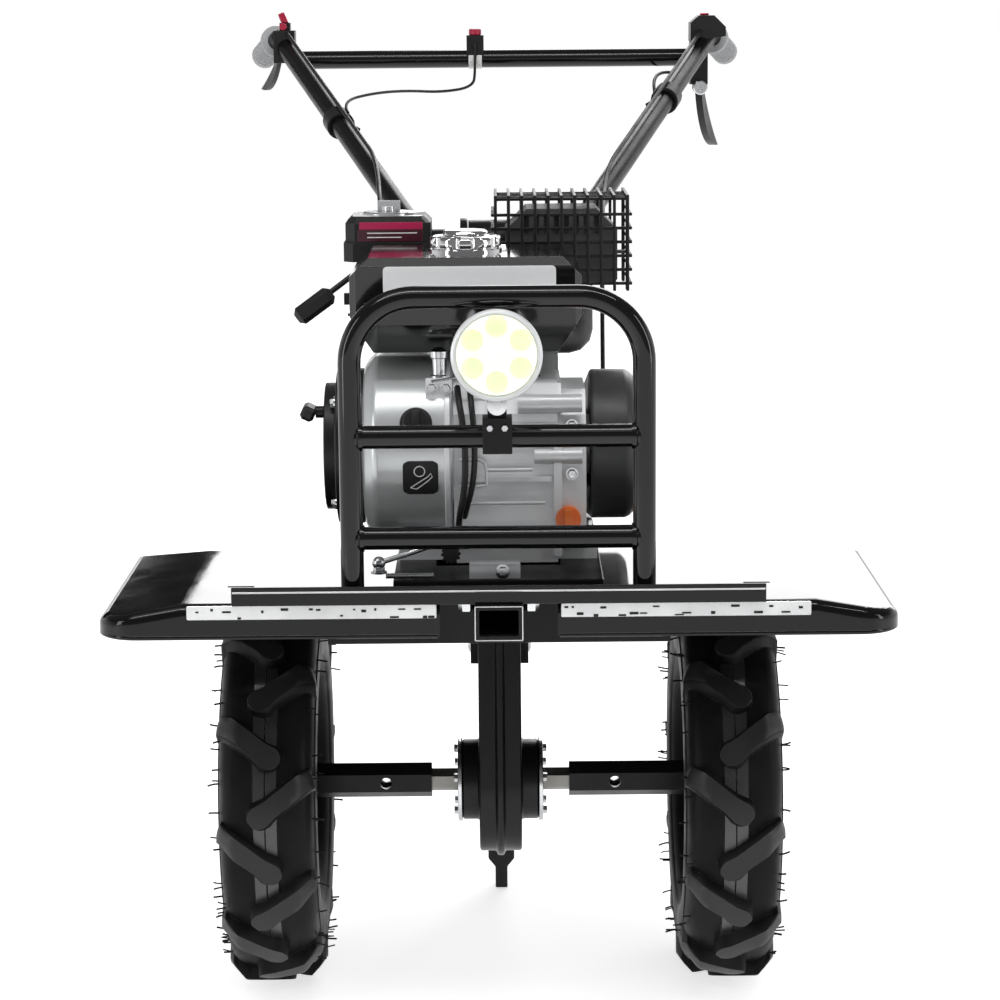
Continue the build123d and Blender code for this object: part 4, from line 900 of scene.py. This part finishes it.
def paintedFrontReflections():
    look = paintedReflectionLook
    bright, dark = bmesh.new(), bmesh.new()
    draw = random.Random(look["seed"])
    wide = look["outer"] - look["inner"]
    for side in (1, -1):
        middle = side * (look["outer"] + look["inner"]) / 2
        addPlate(bright, at(middle, look["front"], look["z"], front), wide, look["high"], 1.0, look["corner"])
        # dark specks on the strip: painted reflections of what the lip mirrors
        for x in look["slots"]:
            place = at(side * x, look["front"] - look["proud"],
                       look["z"] + draw.choice(look["speckHeights"]), front)
            addPlate(dark, place, draw.uniform(*look["speckWide"]), draw.uniform(*look["speckHigh"]), thick=0.9,
                     corner=0.5, steps=3)
    # painted highlight line along the front bar's face
    reach, below, r = look["barHighlight"]
    barLow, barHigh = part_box("front_bar")
    addTube(bright, [(x * mm, barLow.y, barHigh.z - below * mm) for x in (-reach, 0, reach)], r, sides=10)
    # painted highlight round the mouth of the tool socket
    half, low, high, y = look["mouth"]
    corners = [Vector((x, y, z)) * mm for x, z in ((-half, low), (half, low), (half, high), (-half, high))]
    for a, b in zip(corners, corners[1:] + corners[:1]):
        addTube(bright, [a, a.lerp(b, 0.5), b], look["mouthHighlight"], sides=8)
    showPiece("painted_fender_reflections", bright, "painted_highlight_white", "zinc")
    showPiece("strip_slots", dark, "black_satin")


# engine: what is bolted, stuck or hung on it
engineLook = {"crank": (-427.5, 574.0), "drum": 92.0, "switch": (-79.5, 21.7, 13.0),
              "plate": (-75.5, -11.9, 35.0, 34.0), "flange": (-52.0, -46.0, 95.0),
              "panel": (-25.8, -507.4, 747.5, 168.0, 27.0), "stripe": (-109.0, -295.4, 784.6, 66.0, 7.4),
              "maroon": (-110.0, -295.4, 774.4, 68.0, 12.6),
              "lines": ((-108.0, 777.0, 52.0), (-116.0, 772.6, 36.0)),
              "lidDisc": (-112.5, -252.5, 794.0, 27.0), "toggle": ((-3.5, -10, 11), (3.5, 10, 18), 1.5),
              "tab": ((-70, -500, 630), (-44, -497, 651), 0.8),
              "standoff": ((0, 0), (9, 0), (9, 3), (7.4, 4), (7.4, 20), (9, 21), (9, 27), (0, 27)),
              "standPlace": (-57, -478, 648), "tabBolts": ((-64, -500, 641), (-50, -500, 641)),
              "wire": ((-64, -503, 648), (-40, -506, 652), (-10, -504, 650), (30, -500, 655)),
              "slant": ((-10, -10), (7, 1.5), (10, 5), (11.5, 1.5), (7, -3), (-4, -11.5), (-10, -10)),
              "signRing": (-1, 7, 5.2), "signLine": 0.55, "wireRadius": 1.4}
hoses = {
    "hose_outer": {"radius": 3.2, "route": [(-39, -490, 640), (-38, -516, 634), (-33, -526, 606),
                                            (-31, -528, 572), (-33, -527, 540), (-38, -520, 516),
                                            (-39, -506, 503)]},
    "hose_inner": {"radius": 3.0, "route": [(-27, -488, 642), (-26, -514, 634), (-23, -521, 606),
                                            (-22, -522, 572), (-25, -521, 545), (-31, -516, 524),
                                            (-33, -506, 514)]},
    "fuel_hose": {"radius": 3.5, "route": [(-80, -342, 690), (-80, -330, 676), (-86, -312, 672),
                                           (-92, -298, 682), (-92, -282, 690)]},
    "lamp_lead": {"radius": 2.0, "route": [(0, -590, 690), (0, -574, 688), (-2, -560, 664), (-6, -545, 640),
                                           (-8, -520, 628), (-8, -492, 630)]},
}


def onDrum(x, rise, radius):
    # a point on the blower's drum, its angle up from straight ahead
    y, z = engineLook["crank"]
    a = radians(rise)
    return Vector((x, y - radius * cos(a), z + radius * sin(a))) * mm


def drumPlate(bm, x, lift, wide, high, corner=5.0, thick=1.4, rows=14):
    # a thin plate with round corners, bent to the drum
    drum = engineLook["drum"]
    outer, inner = [], []
    for k in range(rows + 1):
        rise = high * (k / rows - 0.5)
        over = max(0.0, abs(rise) - (high / 2 - corner))
        reach = wide / 2 - corner + sqrt(max(0.0, corner ** 2 - over ** 2))
        angle = lift + degrees(rise / drum)
        outer.append([bm.verts.new(onDrum(x + e * (reach - 0.3), angle, drum + thick)) for e in (-1, 1)])
        inner.append([bm.verts.new(onDrum(x + e * reach, angle, drum - 0.6)) for e in (-1, 1)])
    for k in range(rows):
        bm.faces.new((outer[k][0], outer[k][1], outer[k + 1][1], outer[k + 1][0]))
        for e in (0, 1):
            bm.faces.new((inner[k][e], outer[k][e], outer[k + 1][e], inner[k + 1][e]))
    for k in (0, rows):
        bm.faces.new((inner[k][0], inner[k][1], outer[k][1], outer[k][0]))


def engineTrim():
    look = engineLook
    bm = bmesh.new()  # run switch and the plate of the sign
    x, lift, r = look["switch"]
    spot = onDrum(x, lift, look["drum"] - 2)
    outward = (onDrum(x, lift, 100) - onDrum(x, lift, 90)).normalized()
    addTurned(bm, ((0, 0), (r + 3, 0), (r + 3, 3.5), (r, 4.5), (r, 10), (r - 1.5, 12), (0, 12.4)),
              facing(spot, outward), sides=32)
    addBlock(bm, *look["toggle"], facing(spot, outward))
    drumPlate(bm, *look["plate"])
    showPiece("blower_plates", bm, "black_plastic")
    bm = bmesh.new()  # rolled rim of the blower and the tab of the tank's stand-off
    left, right, r = look["flange"]
    y, z = look["crank"]
    rim = [(r - 5, left), (r - 1, left), (r, left + 1), (r, right - 1), (r - 1, right), (r - 5, right)]
    addTurned(bm, rim, at(0, y, z, leftward), sides=72, closed=True)
    addBlock(bm, *look["tab"])
    showPiece("blower_rim", bm, "panel_silver", "silver_sheet")
    bm = bmesh.new()
    addTurned(bm, look["standoff"], at(*look["standPlace"], up), sides=24)
    for spot in look["tabBolts"]:
        addBolt(bm, at(*spot, front), flats=8, height=4)
    addTube(bm, [Vector(p) * mm for p in look["wire"]], look["wireRadius"], sides=8)
    showPiece("engine_fittings", bm, "zinc")
    bm = bmesh.new()  # bright panel on the tank's front
    x, y, z, wide, high = look["panel"]
    addPlate(bm, at(x, y, z, front), wide, high, thick=0.9, corner=4)
    showPiece("tank_panel", bm, "panel_silver", "silver_sheet")
    for name, key, finish in (("cleaner_stripe", "stripe", "label_crimson"),
                              ("cleaner_label", "maroon", "label_maroon")):
        x, y, z, wide, high = look[key]
        bm = bmesh.new()
        addPlate(bm, at(x, y, z, front), wide, high, thick=0.7, corner=0.8, steps=2)
        showPiece(name, bm, finish, "red_plastic")
    bm = bmesh.new()  # lines of the label, ring and bar of the sign
    for x, z, wide in look["lines"]:
        addPlate(bm, at(x, y - 0.6, z, front), wide, height=1.1, thick=0.4, corner=0.4, steps=2)
    x, lift = look["plate"][:2]
    drum = look["drum"] + 1.5
    u0, v0, r = look["signRing"]
    ring = [(r * cos(a) + u0, r * sin(a) + v0) for a in [pi * k / 8 for k in range(17)]]
    for outline in (ring, look["slant"]):
        addTube(bm, [onDrum(x + u, lift + degrees(v / drum), drum) for u, v in outline], look["signLine"],
                sides=6)
    showPiece("label_lines", bm, "label_pale", "silver_sheet")
    x, y, z, r = look["lidDisc"]
    bm = bmesh.new()
    addTurned(bm, ((0, 0), (r, 0), (r, 1.6), (r - 1.2, 2.6), (r - 6, 3), (8, 3.2), (0, 3.2)),
              at(x, y, z, up), sides=48)
    showPiece("cleaner_disc", bm, "zinc")
    for name, spec in hoses.items():
        showCord(name, spec)


# spark plug in the head, with its boot and lead
plugLook = {"place": (-36.0, -256.8, 664.6), "way": (0.0, 0.9063, 0.4226),
            "washer": ((0, -4), (9.5, -4), (9.5, 0), (0, 0)),
            "hexagon": ((0, 0), (10.4, 0), (12, 1.5), (12, 8.5), (10.4, 10), (0, 10)),
            "insulator": ((0, 10), (6.5, 10), (6, 12), (5.4, 13), (5.4, 26), (0, 26)),
            "boot": ((0, 22), (9, 22), (9.6, 23), (9, 36), (7.6, 40), (6.4, 50), (0, 51)),
            "lead": {"radius": 3.4, "route": [(-36, -213.3, 684.9), (-38, -196, 692), (-62, -204, 668),
                                              (-88, -250, 642), (-95, -300, 634), (-95, -327, 621)]}}


def ignition():
    spot = facing(Vector(plugLook["place"]) * mm, plugLook["way"])
    pieces = (("plug_hexagon", (("washer", 24), ("hexagon", 6)), "zinc", "zinc"),
              ("plug_insulator", (("insulator", 24),), "plug_ceramic", "silver_cast"),
              ("plug_boot", (("boot", 24),), "cable_black", "cable_black"))
    for name, profiles, finish, slot in pieces:
        bm = bmesh.new()
        for key, sides in profiles:
            addTurned(bm, plugLook[key], spot, sides)
        showPiece(name, bm, finish, slot)
    showCord("plug_lead", plugLook["lead"])


# bolts: where, which way their heads face, and the size across flats
boltLook = {
    "feet": [(x, y, 480, (0, 0, 1), 13) for x in (-89, 89) for y in (-472.5, -382.5)],
    "column": [(x, y, 478, (0, 0, 1), 13) for x in (-58, 58) for y in (-160, -110)],
    "belt": [(138, y, z, (1, 0, 0), 14) for y, z in ((-427.5, 574), (-345, 560), (-262.5, 545))],
    "gearbox": [(side * 52, y, z, (side, 0, 0), 10) for side in (-1, 1)
                for y, z in ((-400, 392), (-400, 440), (-310, 392), (-205, 392), (-205, 440))],
    "input": [(-50, -262.5 + 32 * cos(a), 545 + 32 * sin(a), (-1, 0, 0), 8)
              for a in (0.5, 1.55, 2.6, 3.65, 4.7, 5.75)],
    "hitch": [(x, -178, 340 + dz, (0, 1, 0), 13) for x in (-25, 25) for dz in (-30, 12)],
    "bar": [(x, -614.5, 452, (0, 0, -1), 13) for x in (-31, 31)],
    "cover": [(73, -505.5, z, (0, -1, 0), 8) for z in (490, 556, 604)],
}
boltRings = {"caps": (44.5, 34.0, 5), "cover": (-160.0, 71.0, 4)}  # x, radius and number


def boltsAndNuts():
    bm = bmesh.new()
    for rows in boltLook.values():
        for x, y, z, way, flats in rows:
            addBolt(bm, at(x, y, z, way), flats, flats * 0.6)
    y, z = tyreLook["axle"]
    x, r, count = boltRings["caps"]
    for side in (-1, 1):
        for a in around(count, pi / 2 / count):
            addBolt(bm, at(side * x, y + r * cos(a), z + r * sin(a), leftward * side), flats=8, height=4,
                    washer=False)
    y, z = engineLook["crank"]
    x, r, count = boltRings["cover"]
    for a in around(count, pi / count):
        addBolt(bm, at(x, y + r * cos(a), z + r * sin(a), -leftward), flats=8, height=4)
    showPiece("zinc_bolts", bm, "zinc")


# handlebar fittings
handleLook = {"cable": {"radius": 2.2, "route": [(238.5, 524.5, 918.3), (222, 516, 922), (205, 470, 915),
                                                 (203, 400, 893), (206, 345, 882), (208, 322, 884)]},
              "band": (-25.0, 17.0, 11.3, 12.9), "clampBolt": (88.0, -142.5, 749.0),
              "barrel": (268.6, 527.9, 900.1),
              "tail": ((-5, -6, 14), (5, 6, 27), 1.5), "tailWay": (-1, 0.25, -0.55), "tailScrew": (21, 6),
              "eye": ((0, 0), (9.4, 0), (9.4, 3), (8, 4), (4, 4), (3.6, 3), (0, 3)),
              "adjuster": ((0, 0), (5.4, 0), (5.4, 7), (3.8, 8), (3.8, 17), (2.6, 19), (0, 19))}


def handleTrim():
    tails, bm = bmesh.new(), bmesh.new()
    for side, share in zip((1, -1), bars["clips"]):
        spot = alongBar(side, share)
        x, y, z = handleLook["tailWay"]
        inward = Vector((side * x, y, z)).normalized()
        beside = inward.cross(up).normalized()
        addBlock(tails, *handleLook["tail"], facing(spot, inward))
        deep, wide = handleLook["tailScrew"]
        addBolt(bm, facing(spot + inward * deep * mm - beside * wide * mm * side, -beside * side),
                flats=5.5, height=3, washer=False)
    showPiece("clip_tails", tails, "black_plastic", body="handlebar")
    for side in (1, -1):
        x, y, z = handleLook["clampBolt"]
        addBolt(bm, at(side * x, y, z, leftward * side), flats=19, height=10)
    x, y, z = handleLook["barrel"]
    addTurned(bm, handleLook["eye"], at(x, y - 17, z, front), sides=24)
    addTurned(bm, handleLook["adjuster"], at(x - 13, y, z + 14, (-1, -0.2, 0.25)), sides=20)
    showPiece("handle_screws", bm, "zinc", body="handlebar")
    bm = bmesh.new()
    x, wide, inner, r = handleLook["band"]
    end = alongBar(1, bars["cross"])
    ring = [(inner, -wide / 2), (r, -wide / 2), (r, wide / 2), (inner, wide / 2)]
    addTurned(bm, ring, facing((x * mm, end.y, end.z), leftward), sides=32, closed=True)
    showPiece("switch_band", bm, "label_pale", "silver_sheet", body="handlebar")
    showCord("lever_cable", handleLook["cable"], "handlebar")


# wheels: bolts of the disc, the collar round the sleeve and the valve
wheelLook = {"disc": 245.0, "boltRing": 62.0, "bolts": 5, "turn": 0.3, "valve": 90.0,
             "hub": ((17, 0), (40, 0), (40, 3), (37, 5), (24, 5), (21.5, 7), (17, 9)),
             "stem": ((0, 0), (7, 0), (6, 6), (4, 9), (4, 20), (4.8, 21), (4.8, 30), (3, 31.5), (0, 31.5))}


def wheelTrim():
    y, z = tyreLook["axle"]
    zincs, blacks = bmesh.new(), bmesh.new()
    for side in (1, -1):
        for a in around(wheelLook["bolts"], wheelLook["turn"]):
            r = wheelLook["boltRing"]
            addBolt(zincs, at(side * wheelLook["disc"], y + r * cos(a), z + r * sin(a), leftward * side),
                    flats=15, height=8)
        hub = at(side * (wheelLook["disc"] - 1), y, z, leftward * side)
        addTurned(blacks, wheelLook["hub"], hub, sides=48, closed=True)
        stem = at(side * (wheelLook["disc"] - 2), y, z + wheelLook["valve"], (side, 0, -0.35))
        addTurned(blacks, wheelLook["stem"], stem, sides=16)
    showPiece("wheel_bolts", zincs, "zinc", body="axle")
    showPiece("wheel_hubs", blacks, "black_gloss", body="axle")


# small things below the guard's lower bar and on the lamp's clamp
frontLook = {"block": ((-28, -588, 467), (21, -562, 481.5)), "flange": ((-45, -513, 489), (52, -500, 496)),
             "ribs": (((-37, 572), (-18, 572), (-13, 569), (-11, 563), (-11, 547), (-20, 546), (-37, 546)),
                      ((-10, 562), (10, 562), (34, 562)), ((-34, 529), (5, 529), (46, 529))),
             "link": ((-108, -590, 472), (-85, -590, 472), (-62, -590, 472)),
             "rod": ((-116, -556, 478), (-84, -550, 487), (-52, -544, 497)), "gear": (-46.0, -552.0, 486.0),
             "edge": 1.6, "ball": 6.5, "rodRadius": 2.6, "ribRadius": 1.7, "shaftRadius": 3.5,
             "teeth": (9.5, 7.6, 12, 7.0), "gearShaft": (1, 28, 47),
             "clampScrews": ((-7, -622.5, 619), (7, -622.5, 619)),
             "knob": ((0, 0), (9.5, 0), (9.5, 3), (5, 3.6), (5, 6), (0, 6.4)), "knobPlace": (0, -617, 640)}


def frontTrim():
    bm = bmesh.new()
    addTube(bm, [Vector(p) * mm for p in frontLook["link"]], frontLook["rodRadius"], sides=12)
    addBolt(bm, at(4, frontLook["block"][0][1], 475, front), flats=9, height=4)
    rod = [Vector(p) * mm for p in frontLook["rod"]]
    addTube(bm, rod, frontLook["rodRadius"], sides=10)
    ball, arc = frontLook["ball"], [pi * k / 10 for k in range(11)]
    for spot in (rod[0], rod[2]):
        addTurned(bm, [(ball * sin(a), -ball * cos(a)) for a in arc], facing(spot, up), sides=20)
    addBolt(bm, facing(rod[0] - Vector((0, 0, 10 * mm)), up), flats=10, height=5)
    for spot in frontLook["clampScrews"]:
        addBolt(bm, at(*spot, front), flats=6, height=4, washer=False)
    addTurned(bm, frontLook["knob"], at(*frontLook["knobPlace"], front), sides=24)
    showPiece("front_fittings", bm, "zinc")
    bm = bmesh.new()  # cast stop on the bed, and the foot flange and ribs of the crankcase
    for key in ("block", "flange"):
        low, high = frontLook[key]
        addBlock(bm, low, high, frontLook["edge"])
    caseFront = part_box("crankcase")[0].y
    for rib in frontLook["ribs"]:
        addTube(bm, [(x * mm, caseFront, z * mm) for x, z in rib], frontLook["ribRadius"], sides=10)
    showPiece("front_castings", bm, "silver_cast")
    bm = bmesh.new()
    x, y, z = frontLook["gear"]
    tip, root, teeth, thick = frontLook["teeth"]
    rings = []
    for height in (0, thick):
        rings.append([])
        for k, a in enumerate(around(4 * teeth)):
            r = tip if k % 4 in (0, 1) else root
            corner = Vector((r * cos(a), r * sin(a), height)) * mm
            rings[-1].append(bm.verts.new(at(x, y, z, front) @ corner))
    joinRings(bm, rings)
    addTube(bm, [Vector((x, y + back, z)) * mm for back in frontLook["gearShaft"]],
            frontLook["shaftRadius"], sides=12)
    showPiece("adjuster_gear", bm, "black_plastic")


frontGuard()
paintedFrontReflections()
handleBars()
headLamp()
fuelCap()
controlCables()
for side, word in ((1, "left"), (-1, "right")):
    lugTyre(side, word)
    fenderBead(side, word)
print("tubes, lamp, cap, cables and tyres made")
engineTrim()
ignition()
boltsAndNuts()
handleTrim()
wheelTrim()
frontTrim()
print("trim made")

# white floor and backdrop light
stageLook = {"floor": (0.93, 0.93, 0.93), "lift": 0.66, "skyDiffuse": 0.42, "skyBack": 1.0,
             "skyFront": 0.22, "skyTop": 0.16, "bandTop": 0.42,
             "card": ((-6000, 6300, 1280), (-1060, 6320, 3400)), "floorSize": 30, "floorSink": 0.0005,
             "behind": (-0.6, 0.35), "bandLow": 0.22}
lampsLook = [
    {"name": "top_box", "place": (-0.5, -1.4, 2.9), "aim": (0, -0.2, 0.5), "size": (2.2, 1.6), "watts": 12},
    {"name": "top_strip", "place": (0, -1.45, 2.95), "aim": (0, -0.6, 0.5), "size": (3.4, 0.13), "watts": 28},
    {"name": "left_strip", "place": (-2.5, -1.7, 1.2), "aim": (0, -0.3, 0.5), "size": (0.45, 1.9),
     "watts": 15},
    {"name": "right_strip", "place": (2.6, -1.5, 1.3), "aim": (0, -0.3, 0.5), "size": (0.45, 1.9),
     "watts": 15},
    {"name": "back_sweep", "place": (0, 6.5, 1.75), "aim": (0, -0.4, 0.5), "size": (8.0, 1.3), "watts": 70},
    {"name": "rear_box", "place": (0.8, 2.6, 2.3), "aim": (0, 0, 0.6), "size": (2.0, 1.2), "watts": 32},
]


def studio():
    bm = bmesh.new()
    bmesh.ops.create_grid(bm, x_segments=1, y_segments=1, size=stageLook["floorSize"])
    mesh = bpy.data.meshes.new("floor")
    bm.to_mesh(mesh)
    bm.free()
    floor = bpy.data.objects.new("floor", mesh)
    floor.location.z = -stageLook["floorSink"]
    scene.collection.objects.link(floor)
    material, tree = newMaterial("floor_white")
    tree.nodes.remove(tree.nodes["Principled BSDF"])
    matte = put(tree, "ShaderNodeBsdfDiffuse", Color=rgba(stageLook["floor"]))
    rays = put(tree, "ShaderNodeLightPath").outputs
    seen = maths(tree, "ADD", maths(tree, "ADD", rays["Is Camera Ray"], rays["Is Glossy Ray"]),
                 rays["Is Transmission Ray"], clamp=True)
    glow = put(tree, "ShaderNodeEmission")
    wire(tree, maths(tree, "MULTIPLY", seen, stageLook["lift"]), glow.inputs["Strength"])
    total = put(tree, "ShaderNodeAddShader")
    wire(tree, matte.outputs[0], total.inputs[0])
    wire(tree, glow.outputs[0], total.inputs[1])
    wire(tree, total.outputs[0], tree.nodes["Material Output"].inputs["Surface"])
    mesh.materials.append(material)
    # a black card high at the back, off to one side, that the end of one fender mirrors
    bm = bmesh.new()
    addBlock(bm, *stageLook["card"])
    card = showPiece("black_card", bm, "cage_black", slot="", body=None)
    world = bpy.data.worlds.new("white_studio")
    scene.world = world
    world.use_nodes = True
    tree = world.node_tree
    sky = tree.nodes["Background"]
    sky.inputs["Color"].default_value = (1, 1, 1, 1)
    rays = put(tree, "ShaderNodeLightPath").outputs
    towards = put(tree, "ShaderNodeSeparateXYZ")
    wire(tree, put(tree, "ShaderNodeTexCoord").outputs["Generated"], towards.inputs[0])
    # what gloss shows: a white sweep low behind the machine, dimmer in front and overhead
    behind = spread(tree, towards.outputs["Y"], *stageLook["behind"])
    level = maths(tree, "ADD", maths(tree, "MULTIPLY", behind,
                                     stageLook["skyBack"] - stageLook["skyFront"]), stageLook["skyFront"])
    above = spread(tree, towards.outputs["Z"], stageLook["bandLow"], stageLook["bandTop"])
    shown = maths(tree, "ADD", maths(tree, "MULTIPLY", above,
                                     maths(tree, "SUBTRACT", stageLook["skyTop"], level)), level)
    mirrored = maths(tree, "ADD", rays["Is Glossy Ray"], rays["Is Transmission Ray"], clamp=True)
    gain = maths(tree, "MULTIPLY", mirrored, maths(tree, "SUBTRACT", shown, stageLook["skyDiffuse"]))
    soft = maths(tree, "ADD", gain, stageLook["skyDiffuse"])
    wire(tree, maths(tree, "MAXIMUM", soft, rays["Is Camera Ray"]), sky.inputs["Strength"])
    for spec in lampsLook:
        light = bpy.data.lights.new(spec["name"], "AREA")
        light.shape = "RECTANGLE"
        light.size, light.size_y = spec["size"]
        light.energy = spec["watts"]
        holder = bpy.data.objects.new(spec["name"], light)
        aim = Vector(spec["aim"]) - Vector(spec["place"])
        turn = aim.to_track_quat("-Z", "Y").to_matrix().to_4x4()
        holder.matrix_world = Matrix.Translation(spec["place"]) @ turn
        scene.collection.objects.link(holder)


studio()
print("studio lit")
